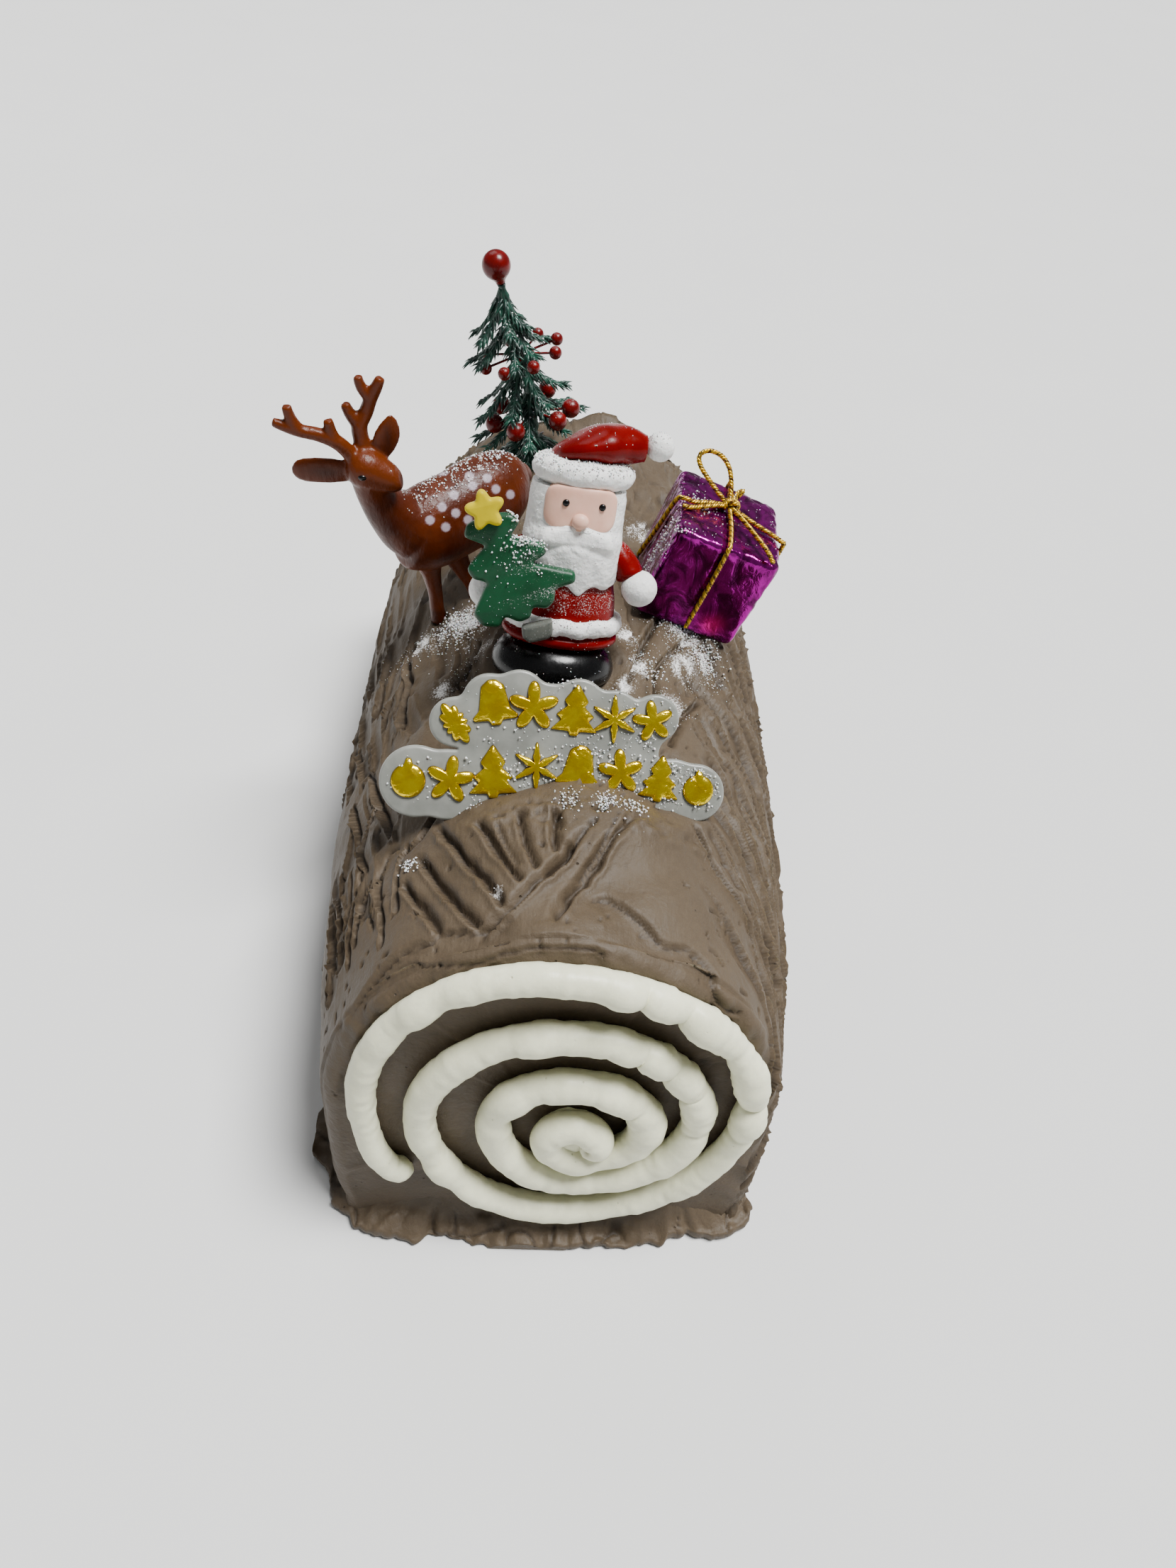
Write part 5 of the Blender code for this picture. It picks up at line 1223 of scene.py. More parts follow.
@dataclass
class Plaque(SubAssembly):
    """The milky plaque with two rows of stamped gold motifs, stuck in the cream by its lower edge."""
    stand: Stand = Stand((-2.9, -59.7, 91.0), (-40.0, 2.6, 4.4))
    thickness: float = 2.0
    lobes: tuple[Point, ...] = (
        (-29.6, 8.2, 7.8), (-22.8, 7.6, 7.7), (-14.5, 9.0, 7.6), (-6.0, 9.5, 7.6), (2.0, 9.5, 7.6),
        (10.0, 9.0, 7.4), (18.0, 8.4, 7.2), (25.6, 8.0, 6.4), (31.0, 6.9, 6.5), (-21.8, 21.0, 5.4),
        (-14.6, 26.0, 5.6), (-8.2, 26.8, 5.8), (-1.6, 24.0, 5.8), (4.6, 25.2, 5.9), (12.4, 23.2, 5.7),
        (21.2, 22.9, 5.4), (-14.0, 18.0, 7.0), (-3.0, 18.0, 7.0), (7.0, 18.0, 7.0), (16.0, 17.4, 6.6))
    motifs: tuple[tuple[Motif, float, float, float, float], ...] = (
        (Motif.HOLLY, -21.6, 20.8, 4.6, 0.0), (Motif.BELL, -13.6, 25.4, 4.9, 8.0),
        (Motif.STAR, -5.2, 24.8, 5.2, 0.0), (Motif.TREE, 3.8, 24.2, 5.4, -4.0),
        (Motif.FLAKE, 12.2, 22.6, 4.9, 0.0), (Motif.STAR, 20.6, 22.4, 4.4, 10.0),
        (Motif.BAUBLE, -31.2, 8.4, 4.6, 0.0), (Motif.STAR, -22.4, 8.8, 5.0, -8.0),
        (Motif.TREE, -13.4, 10.6, 5.6, 2.0), (Motif.FLAKE, -4.2, 12.0, 4.9, 0.0),
        (Motif.BELL, 5.0, 11.9, 5.0, -6.0), (Motif.STAR, 14.0, 11.2, 4.9, 4.0),
        (Motif.TREE, 22.8, 9.9, 5.0, -6.0), (Motif.BAUBLE, 31.4, 7.6, 4.3, 0.0))

    def build(self) -> None:
        """The plate and all its motifs."""
        sheet = plate(softened(self.outline(), 420, 10), self.thickness, 0.75)
        x, _, z = sheet.points.T
        heap = bump((x - 6.0) / 17.0, 1.0) * bump((z - 5.5) / 4.0, 1.0)
        edge = step(z, 27.0, 31.0) * step(noise(41, x / 3.0, z / 3.0), -0.2, 0.6)
        sheet.marked("dust", np.clip(0.6 * heap + 0.3 * edge, 0.0, 0.8))
        self.add("plaque_sheet", sheet.carried(self.stand), MILKY, "plaque", crease=50.0)
        gold = Shape.joined([self.stamped(*motif) for motif in self.motifs])
        self.add("plaque_gold_motifs", gold.carried(self.stand), STAMPED_GOLD)

    def outline(self) -> Array:
        """The outer edge of the overlapping lobes: the parts of each circle that lie in no other."""
        middle, radius = np.array(self.lobes)[:, :2], np.array(self.lobes)[:, 2]
        turn = np.arange(96) * 2.0 * pi / 96
        circles = middle[:, None] + radius[:, None, None] * np.stack([np.cos(turn), np.sin(turn)], axis=1)
        reach = np.linalg.norm(circles[:, :, None] - middle, axis=3) - radius
        free = np.all((reach > 0.0) | np.eye(len(radius), dtype=bool)[:, None], axis=2)
        arcs = []
        for circle, open_part in zip(circles, free):
            starts = np.flatnonzero(open_part & ~np.roll(open_part, 1))
            for start in starts:
                order = (start + np.arange(96)) % 96
                arcs.append(circle[order[:int(np.argmin(open_part[order]))]])
        line = [arcs.pop(0)]
        while arcs:
            gaps = [np.linalg.norm(arc[0] - line[-1][-1]) for arc in arcs]
            if np.linalg.norm(line[0][0] - line[-1][-1]) < min(gaps):
                break
            line.append(arcs.pop(int(np.argmin(gaps))))
        return np.concatenate(line)

    def stamped(self, motif: Motif, x: float, z: float, size: float, roll: float) -> Shape:
        """One raised motif: its outline drawn in towards the middle, high by a root of 1 less part^5.

        Args:
            motif: Which shape.
            x: Its middle across the plate.
            z: Its middle up the plate.
            size: Its reach.
            roll: How far it is rolled, in degrees.

        Returns:
            The motif, set a little into the plate.
        """
        c, s = cos(radians(roll)), sin(radians(roll))
        line = size * motif.outline() @ np.array(((c, s), (-s, c)))
        part = np.array([0.06, 0.3, 0.55, 0.72, 0.84, 0.92, 0.97, 1.0, 1.0, 0.5, 0.06])
        rise = 0.95 * np.sqrt(np.maximum(1.0 - part ** 5, 0.0)) + 0.12
        rise[-3:] = -0.3
        depth = -0.5 * self.thickness - rise[:, None] + 0.0 * line[:, 0]
        rings = np.stack([x + part[:, None] * line[:, 0], depth, z + part[:, None] * line[:, 1]], axis=-1)
        shape = Shape.lattice(rings)
        # painted shade: the slope mark rises towards the sloping rim
        slope = np.repeat(np.array([0, 0, 0, 0, 0, 0.15, 0.6, 1, 1, 1, 1.0]), len(line))
        heap = bump((x - 6.0) / 15.0, 1.0) * bump((z - 6.0) / 4.0, 1.0) * 0.35
        fade = step(-shape.points[:, 2], -z, 4.0 - z)
        return shape.marked("slope", np.append(slope, [0.0, 0.0])).marked("dust", heap * fade)


@dataclass
class FatherChristmas(SubAssembly):
    """A moulded Father Christmas with a small fir, in a frame that leans back with him."""
    stand: Stand = Stand((-4.5, -17.0, 98.0), (-22.0, 5.0, 0.0))
    boots: tuple[float, float] = (14.5, 12.5)
    coat: tuple[float, float] = (12.2, 9.6)
    head: tuple[float, float] = (11.2, 9.2)
    brim: tuple[float, float] = (11.4, 10.2)
    brim_band: tuple[float, float] = (42.8, 48.5)
    mitten: float = 4.1
    pompom: float = 3.2
    fir_line: tuple[tuple[float, float], ...] = (
        (-8.6, 0.0), (-5.2, -1.4), (-3.4, 0.6), (-1.0, -1.6), (1.6, -1.4), (2.8, 0.8), (5.4, -0.6),
        (7.6, 0.6), (8.2, 3.0), (12.8, 3.0), (13.4, 5.2), (5.4, 9.6), (9.0, 10.6), (9.2, 12.6),
        (2.8, 16.0), (5.8, 18.4), (4.6, 20.6), (0.0, 21.6), (-4.8, 21.0), (-6.2, 18.8), (-2.4, 15.8),
        (-7.8, 12.4), (-7.2, 10.0), (-4.6, 8.6), (-9.6, 3.0))

    def build(self) -> None:
        """Boots, coat, head, hat, arms and the small fir."""
        self.body()
        self.face_and_beard()
        self.hat()
        self.arms()
        self.small_fir()

    def keep(self, name: str, shape: Shape, finish: Finish, *nodes: str, dust: Array | float = 0.0,
             crease: float = 180.0) -> None:
        """Mark a shape's sugar, carry it into the cake's frame and keep it."""
        self.add(name, shape.marked("dust", dust).carried(self.stand), finish, *nodes, crease=crease)

    def body(self) -> None:
        """Black boots, the red coat with its glossy lip, and its white trim."""
        wide, deep = self.boots
        rows = [(0.0, 0.0, z, wide * part, deep * part) for z, part in
                ((-2.0, 0.8), (-1.4, 0.95), (0.8, 1.0), (3.0, 0.96), (5.2, 0.86), (6.8, 0.66), (7.2, 0.3))]
        boots = stacked(rows, 64, 26)
        x, y, z = boots.points.T
        specks = step(noise(51, x / 1.1, y / 1.1, z / 1.1), 0.35, 0.7) * step(z, 1.0, 4.0)
        self.keep("boots", boots, BLACK, "figure_boots", dust=0.16 * specks)
        wide, deep = self.coat
        rows = [(0.6, 0.0, z, wide * part, deep * part) for z, part in
                ((7.2, 0.7), (7.3, 1.0), (8.2, 1.1), (9.3, 1.09), (10.2, 1.0), (12.0, 0.97), (14.5, 0.98),
                 (18.0, 0.95), (22.0, 0.88), (28.0, 0.88), (32.5, 0.86), (33.0, 0.4))]
        coat = stacked(rows, 72, 44)
        x, y, z = coat.points.T
        sugared = step(z, 14.5, 16.0) * (0.33 + 0.08 * noise(52, x / 2.0, y / 2.0, z / 2.0))
        self.keep("coat", coat, RED, "figure_coat", dust=sugared)
        turn = np.linspace(0.0, 2.0 * pi, 120, endpoint=False)
        wave = 0.25 * noise(53, turn * 4.0, 0.0 * turn)
        path = np.stack([0.6 + (wide + 0.5) * np.cos(turn), (deep + 0.5) * np.sin(turn), 12.3 + wave], axis=1)
        roll = np.linspace(0.0, 2.0 * pi, 20, endpoint=False)
        out = np.stack([np.cos(turn), np.sin(turn), 0.0 * turn], axis=1)[:, None]
        ring = path[:, None] + 1.5 * np.cos(roll)[:, None] * out
        ring[..., 2] += 2.0 * np.sin(roll)
        trim = Shape.lattice(ring, (True, True), poles=False).crumbly(54, 1.2, 0.22)
        self.keep("coat_trim", trim, WHITE, "figure_coat_trim", dust=0.55 * step(trim.points[:, 2], 12.0, 14.0))

    def face_and_beard(self) -> None:
        """The white head: a squarish barrel whose front carries the moustache and a waved beard."""
        wide, deep = self.head
        turn = np.linspace(0.0, 2.0 * pi, 144, endpoint=False)
        power = 2.0 / 2.4
        across = np.sign(np.cos(turn)) * np.abs(np.cos(turn)) ** power
        along = np.sign(np.sin(turn)) * np.abs(np.sin(turn)) ** power
        level = np.linspace(0.0, 1.0, 90)[:, None]
        x = 0.5 + wide * across
        hang = 2.7 * bump(x - 3.0, 2.0) + 0.9 * bump(x - 9.4, 1.7) + 1.5 * bump(x + 4.0, 3.0) - 0.4
        low = 21.4 - hang * step(-along, 0.1, 0.7) + (9.6 + 0.6 * np.sin(1.1 * x)) * step(along, -0.2, 0.35)
        z = low + (42.6 - low) * level
        girth = np.interp(z, (18.0, 21.5, 24.0, 28.0, 31.6, 34.3, 40.0, 42.4),
                          (0.95, 1.0, 1.02, 1.02, 1.0, 0.97, 0.96, 0.93))
        bulge = np.interp(z, (18.0, 21.5, 24.0, 28.0, 31.6, 34.0, 40.0, 42.4),
                          (0.95, 0.99, 1.07, 1.13, 1.15, 1.0, 0.97, 0.95))
        end = np.clip(1.0 - (1.0 - np.minimum(level / 0.06, 1.0)) ** 2, 0.0, 1.0) ** 0.5
        end = 0.72 + 0.28 * end
        grid = np.stack([0.5 + wide * across * girth * end,
                         deep * along * np.where(along < 0.0, bulge, 1.0) * end, z], axis=-1)
        shape = Shape.lattice(grid)
        px, py, pz = shape.points.T
        front = step(-py, 1.0, 6.0)
        reach = np.abs(px - 0.9)
        droop = 34.2 - 0.045 * reach ** 2
        moustache = 1.25 * bump(pz - droop, 1.7) * step(9.5 - reach, 0.0, 3.0) * step(reach, 0.0, 1.2)
        under = -0.30 * bump(pz - droop + 2.8, 0.7) * step(8.5 - reach, 0.0, 3.0)
        waves = 0.10 * np.sin(0.95 * px + 0.5 * np.sin(0.7 * pz)) * step(31.0 - pz, 0.0, 4.0)
        fleece = 0.10 * noise(55, px / 1.5, py / 1.5, pz / 1.5) + 0.07 * noise(50, px / 0.6, py / 0.6, pz / 0.6)
        shape.swollen(front * (moustache + under + waves) + fleece)
        px, py, pz = shape.points.T
        tufts = step(noise(56, px / 1.4, py / 1.4, pz / 1.4), 0.1, 0.6)
        self.keep("head_and_beard", shape, WHITE, "figure_head", dust=0.35 * tufts)
        self.face()

    def face(self) -> None:
        """The face panel, with a round nose and two bead eyes."""
        wide, deep = self.head
        u = np.linspace(-1.0, 1.0, 56)
        levels = np.linspace(-1.0, 1.0, 30)
        corner = (1.0 - np.abs(levels) ** 4) ** 0.25
        span = 0.8 + 7.9 * u * corner[:, None]
        height = 38.9 + 4.9 * levels[:, None] + 0.0 * span
        part = np.clip(np.abs(span - 0.5) / wide, 0.0, 1.0) ** 2.4
        curve = deep * (1.0 - part) ** (1.0 / 2.4)
        edge = np.sqrt(np.clip(1.0 - np.abs(u) ** 10, 0.0, 1.0)) * np.sqrt(1.0 - np.abs(levels[:, None]) ** 10)
        skin = np.stack([span, -(curve * 0.97 + 0.9 * edge), height], axis=-1)
        back = np.stack([span, -(curve - 2.5), height], axis=-1)[:, ::-1]
        self.keep("face", Shape.joined([Shape.lattice(np.concatenate([skin, back], axis=1)),
                                        rounded_ball((0.9, -10.2, 36.6), (1.9, 1.5, 1.7))]), SKIN, "figure_face")
        eyes = Shape.joined([rounded_ball((x, -9.75 + 0.012 * x * x, 40.1), (0.78, 0.5, 0.78), 24)
                             for x in (-2.6, 5.3)])
        self.keep("eyes", eyes, BLACK)

    def hat(self) -> None:
        """The fat brim, the red hat lying over to the right, and its pompom."""
        low, high = self.brim_band
        turn = np.linspace(-0.5 * pi, 0.5 * pi, 15)
        rows = [(0.9, 0.0, 0.5 * (low + high) + 0.5 * (high - low) * sin(a), self.brim[0] - 3.4 * (1.0 - cos(a)),
                 self.brim[1] - 3.4 * (1.0 - cos(a))) for a in turn]
        brim = stacked(rows, 96, 34).crumbly(57, 1.6, 0.20)
        x, y, z = brim.points.T
        self.keep("hat_brim", brim, WHITE, "figure_hat_brim", dust=0.5 * step(z, 45.5, 47.5))
        rings = through(((-6.6, 1.0, 48.9), (-5.8, 2.6, 50.0), (-4.0, 5.4, 51.6), (0.0, 7.9, 54.3),
                         (4.5, 7.8, 56.2), (8.5, 6.3, 56.3), (11.5, 4.6, 55.8), (13.8, 3.2, 55.0)), 46)
        x, wide, top = rings.T[:, :, None]
        floor = self.brim_band[1] - 1.0 + np.maximum(0.0, x - 6.0) * 0.22
        turn = np.linspace(0.0, 2.0 * pi, 48, endpoint=False)
        middle = 0.5 * (top + floor)
        cap = Shape.lattice(np.stack([x + 0.0 * turn, wide * np.cos(turn), middle + (top - middle) * np.sin(turn)],
                                     axis=-1))
        fold = 0.12 * np.sin(0.8 * cap.points[:, 0] + 0.5 * cap.points[:, 1])
        cap.swollen(fold)
        x, y, z = cap.points.T
        sugar = step(2.0 - x, -2.0, 6.0) * step(noise(58, x / 0.9, y / 0.9, z / 0.9), 0.2, 0.8) * 0.05
        self.keep("hat", cap, RED, "figure_hat", dust=sugar)
        ball = rounded_ball((16.8, 0.0, 52.9), (self.pompom,) * 3, 40).crumbly(59, 1.5, 0.1)
        self.keep("pompom", ball, WHITE, "figure_pompom", dust=0.25 * step(ball.points[:, 2], 53.0, 55.0))

    def arms(self) -> None:
        """Red sleeves from the coat to the two mittens."""
        arms = (("right", ((9.0, -0.6, 30.0), (13.0, -2.0, 26.6), (15.0, -3.2, 23.6)), (16.9, -4.0, 22.1)),
                ("left", ((-8.0, -0.6, 29.0), (-12.6, -3.0, 24.4), (-15.4, -5.0, 20.0)), (-17.2, -6.6, 18.0)))
        for side, path, hand in arms:
            sleeve = swept(through(path, 16), 3.15 * blunt(16), 28).crumbly(63, 2.5, 0.12)
            self.keep("sleeve_" + side, sleeve, RED, "figure_arm_" + side,
                      dust=0.3 * step(sleeve.points[:, 2], 27.0, 31.0))
            mitten = rounded_ball(hand, (self.mitten,) * 3, 40).crumbly(64, 2.0, 0.10)
            self.keep("mitten_" + side, mitten, WHITE, "figure_mitten_" + side,
                      dust=0.2 * step(mitten.points[:, 2], hand[2], hand[2] + 3.0))

    def small_fir(self) -> None:
        """The held fir: a thick plate with rounded arms, its star and its trunk."""
        roll = Stand((-9.3, -13.4, 15.8), (0.0, -25.0, 0.0))
        line = softened(1.05 * np.array(self.fir_line), 240, 5)
        fir = plate(line, 3.4, 1.2)
        x, _, z = fir.points.T
        fir.carried(roll)
        self.keep("held_fir", fir, GREEN, "figure_fir", crease=60.0,
                  dust=np.clip(0.25 * noise(65, x / 4.0, z / 4.0) + 0.3 * step(x, -2.0, 8.0), 0.0, 0.42))
        turn = np.linspace(0.0, 2.0 * pi, 120, endpoint=False)
        radius = 3.55 + 0.75 * np.cos(5.0 * turn)
        star = plate(np.stack([radius * np.sin(turn), radius * np.cos(turn)], axis=1), 2.6, 0.9)
        star.carried(Stand((-19.5, -16.6, 37.8), (0.0, -20.0, 0.0)))
        self.keep("held_star", star, YELLOW, "figure_fir_star", crease=60.0)
        trunk = ((-3.4, 0.0), (3.6, 0.0), (3.0, -3.4), (1.8, -4.2), (-2.6, -4.2), (-3.8, -2.6))
        stub = plate(softened(np.array(trunk), 80, 6), 3.0, 0.9)
        stub.carried(Stand((-5.8, -13.3, 14.2), (0.0, -20.0, 0.0)))
        self.keep("held_trunk", stub, GREY, "figure_fir_trunk", dust=0.2, crease=60.0)


@dataclass
class Reindeer(SubAssembly):
    """A moulded reindeer that looks to the right: swollen tubes fused into one skin."""
    barrel: tuple[tuple[float, float, float, float], ...] = (
        (-43.2, 5.5, 115.6, 2.0), (-41.8, 6.8, 115.5, 5.6), (-39.5, 8.5, 115.0, 8.0), (-35.5, 12.0, 114.8, 9.0),
        (-30.0, 16.5, 115.4, 9.0), (-24.5, 21.5, 116.4, 9.1), (-19.5, 26.0, 116.2, 8.6), (-16.5, 29.0, 114.9, 6.0),
        (-15.6, 30.0, 114.6, 2.4))
    limbs: tuple[tuple[tuple[float, float, float, float], ...], ...] = (
        ((-37.0, 11.0, 114.5, 8.4), (-40.8, 8.6, 118.0, 7.8), (-44.2, 6.2, 122.6, 5.7), (-46.6, 4.6, 128.0, 4.5),
         (-47.8, 3.4, 133.5, 4.2)),
        ((-51.8, 3.1, 136.5, 2.4), (-50.4, 2.9, 136.2, 4.1), (-48.2, 2.6, 135.7, 4.6), (-45.4, 2.4, 134.6, 4.0),
         (-42.9, 2.2, 133.8, 3.3), (-41.3, 2.2, 133.6, 2.8), (-40.3, 2.2, 133.8, 1.8)),
        ((-50.0, 2.4, 136.6, 1.95), (-51.4, 2.0, 139.6, 1.71), (-53.8, 1.2, 142.6, 1.65), (-57.4, 0.6, 144.4, 1.52),
         (-61.3, 0.0, 145.4, 1.4), (-64.4, -0.4, 146.6, 1.22), (-66.4, -0.7, 147.5, 0.98)),
        ((-53.8, 1.2, 142.4, 1.5), (-54.6, 1.1, 145.0, 1.3), (-55.0, 1.0, 147.8, 1.1)),
        ((-61.0, 0.0, 145.2, 1.4), (-62.5, 0.0, 148.0, 1.25), (-63.2, 0.0, 151.0, 1.1)),
        ((-48.0, 3.8, 137.6, 2.07), (-48.9, 4.6, 141.2, 1.83), (-49.1, 5.0, 144.6, 1.77), (-47.6, 5.8, 147.4, 1.59),
         (-46.4, 6.0, 150.4, 1.46), (-45.0, 6.0, 153.2, 1.34), (-43.9, 6.0, 155.5, 1.05)),
        ((-49.1, 5.0, 144.4, 1.52), (-50.8, 5.0, 147.0, 1.34), (-51.9, 5.0, 149.6, 1.1)),
        ((-46.4, 6.0, 150.4, 1.4), (-48.2, 6.0, 153.0, 1.22), (-48.8, 6.0, 155.5, 1.05)),
        ((-36.0, 10.5, 112.0, 5.4), (-36.2, 11.0, 106.0, 3.8), (-35.7, 11.6, 101.0, 2.5), (-35.0, 12.0, 95.0, 1.9),
         (-34.7, 12.0, 90.0, 1.9), (-34.3, 12.0, 85.5, 2.1)),
        ((-33.0, 15.5, 112.0, 5.4), (-31.0, 16.6, 105.5, 3.8), (-28.6, 17.0, 99.5, 2.5), (-26.4, 17.0, 95.0, 1.9),
         (-25.2, 17.0, 91.5, 1.9), (-24.6, 17.0, 88.5, 2.1)),
        ((-22.5, 21.5, 113.0, 6.0), (-20.6, 21.3, 106.0, 4.4), (-19.2, 21.5, 100.5, 2.7), (-18.4, 22.4, 95.0, 1.9),
         (-18.6, 22.3, 92.0, 1.9), (-18.6, 22.0, 89.5, 2.1)),
        ((-21.5, 26.5, 113.0, 6.0), (-21.4, 29.6, 106.0, 4.4), (-20.4, 31.6, 100.5, 2.7), (-19.9, 33.2, 95.0, 1.9),
         (-20.2, 33.2, 92.0, 1.9), (-20.5, 33.0, 88.5, 2.1)),
        ((-17.4, 28.5, 119.6, 2.4), (-15.0, 31.4, 119.2, 2.4), (-13.4, 32.9, 117.0, 1.9), (-12.9, 33.4, 114.8, 0.9)))
    ears: tuple[tuple[tuple[float, float, float, float], ...], ...] = (
        ((-50.0, 2.5, 134.7, 1.8), (-52.9, 2.2, 134.8, 2.7), (-56.6, 2.0, 134.8, 3.1), (-60.8, 2.0, 134.6, 3.0),
         (-63.2, 2.0, 134.3, 2.3), (-64.5, 2.0, 134.2, 0.8)),
        ((-45.8, 4.4, 137.0, 1.6), (-44.4, 5.0, 139.4, 2.7), (-43.4, 5.5, 142.2, 3.1), (-42.7, 5.7, 145.0, 2.2),
         (-42.4, 5.8, 147.1, 0.7)))
    spots: tuple[Point, ...] = (
        (-21.7, 12.8, 128.6), (-25.0, 9.9, 128.1), (-29.1, 6.1, 127.8), (-31.7, 3.8, 125.8), (-28.8, 6.5, 122.6),
        (-26.1, 8.8, 119.4), (-31.0, 4.5, 119.9), (-25.7, 9.2, 131.2), (-19.8, 14.6, 124.5), (-23.6, 11.1, 122.2),
        (-34.5, 3.2, 122.5), (-16.5, 18.0, 121.0))
    voxel: float = 0.42

    def build(self) -> None:
        """Fuse the tubes, mark the hide and add the eyes."""
        skin = self.fused([self.tube(self.barrel, 1.22, 40)] + [self.tube(limb, 1.0, 24) for limb in self.limbs]
                          + [self.tube(ear, 0.36, 24, (0.5, -1.0, 0.0)) for ear in self.ears])
        x, y, z = skin.points.T
        on_barrel = step(z, 108.0, 112.0) * step(133.0 - z, 0.0, 2.0) * step(x, -40.0, -37.0)
        painted = np.zeros(len(x))
        for side, way in ((0.0, (0.07, -0.83, 0.55)), (1.0, (-0.62, 0.55, 0.55))):
            for spot in np.array(self.spots):
                gap = skin.points - spot - side * np.array((0.0, 0.0, -1.5)) - side * self.flip(spot)
                gap = gap - (gap @ np.array(way))[:, None] * np.array(way)
                painted = np.maximum(painted, step(1.2 - np.linalg.norm(gap, axis=1), 0.0, 0.35)
                                     * step(skin.normals() @ np.array(way), 0.1 + 0.5 * side, 0.3 + 0.5 * side))
        skin.marked("spot", painted * on_barrel)
        # painted glow of light through the thin head and legs
        skin.marked("thin", step(z, 128.0, 140.0) + step(112.0 - z, 0.0, 8.0))
        up = step(skin.normals()[:, 2], 0.25, 0.9)
        powder = noise(66, x / 1.6, y / 1.6, z / 1.6)
        spine = step(skin.normals()[:, 2], 0.72, 0.95) * step(z, 119.0, 124.0) * step(x, -42.0, -34.0)
        skin.marked("dust", np.clip(spine * step(powder, 0.1, 0.7) * 0.5 + 0.06 * up * step(powder, 0.3, 0.7),
                                    0.0, 0.6))
        dark = 0.7 * bump(np.linalg.norm(skin.points - (-40.0, 2.0, 133.4), axis=1), 1.4)
        inner = sum(bump(np.linalg.norm((skin.points - middle) / size, axis=1), 1.0) for middle, size in (
            ((-56.6, 0.9, 134.9), (4.2, 0.8, 1.5)), ((-43.2, 4.6, 142.2), (1.2, 0.8, 3.6))))
        hoof = step(91.0 - z, 0.0, 2.0)
        mouth = bump((z - 131.9 - 0.05 * (x + 42.0)) / 0.35, 1.0) * step(x, -44.5, -43.0) * step(133.0 - z, 0.0, 0.5)
        skin.marked("shade", np.clip(dark + 0.6 * inner + 0.5 * hoof + 0.7 * mouth, 0.0, 1.0))
        self.add("reindeer_hide", skin, HIDE, "reindeer")
        eyes = Shape.joined([rounded_ball((-48.3, -1.6, 135.9), (1.0, 0.7, 0.7), 24),
                             rounded_ball((-47.4, 6.7, 135.9), (1.0, 0.7, 0.7), 24)])
        self.add("reindeer_eyes", eyes.marked("dust", 0.0), BLACK)

    @staticmethod
    def flip(spot: Array) -> Array:
        """The move that takes a spot on the near flank to the far one: across the barrel's upright middle."""
        side = np.array((-0.67, 0.74, 0.0))
        return -2.0 * ((spot - np.array((-30.0, 16.5, 0.0))) @ side) * side

    @staticmethod
    def tube(stations: Sequence, flat: float, sides: int, up: Point = (0.0, 0.0, 1.0)) -> Shape:
        """A swollen tube through (x, y, z, radius) stations."""
        smooth = through(stations, 10 * len(stations))
        return swept(smooth[:, :3], np.maximum(smooth[:, 3], 0.3), sides, flat, up)

    def fused(self, tubes: Sequence[Shape]) -> Shape:
        """One skin over all tubes: voxels, then a light smoothing that rounds their joints."""
        mesh = Shape.joined(tubes).mesh("reindeer_tubes")
        guide = bpy.data.objects.new("reindeer_tubes", mesh)
        bpy.context.scene.collection.objects.link(guide)
        remesh = guide.modifiers.new("fuse", "REMESH")
        remesh.mode = "VOXEL"
        remesh.voxel_size = self.voxel * MM
        soften = guide.modifiers.new("soften", "SMOOTH")
        soften.factor = 0.5
        soften.iterations = 5
        bpy.context.view_layer.update()
        made = guide.evaluated_get(bpy.context.evaluated_depsgraph_get()).to_mesh()
        points = np.empty(len(made.vertices) * 3, np.float32)
        made.vertices.foreach_get("co", points)
        made.calc_loop_triangles()
        tris = np.empty(len(made.loop_triangles) * 3, np.int32)
        made.loop_triangles.foreach_get("vertices", tris)
        bpy.data.objects.remove(guide)
        return Shape(points.reshape(-1, 3).astype(float) / MM, np.zeros((0, 4), int),
                     tris.reshape(-1, 3).astype(int)).facing_out()


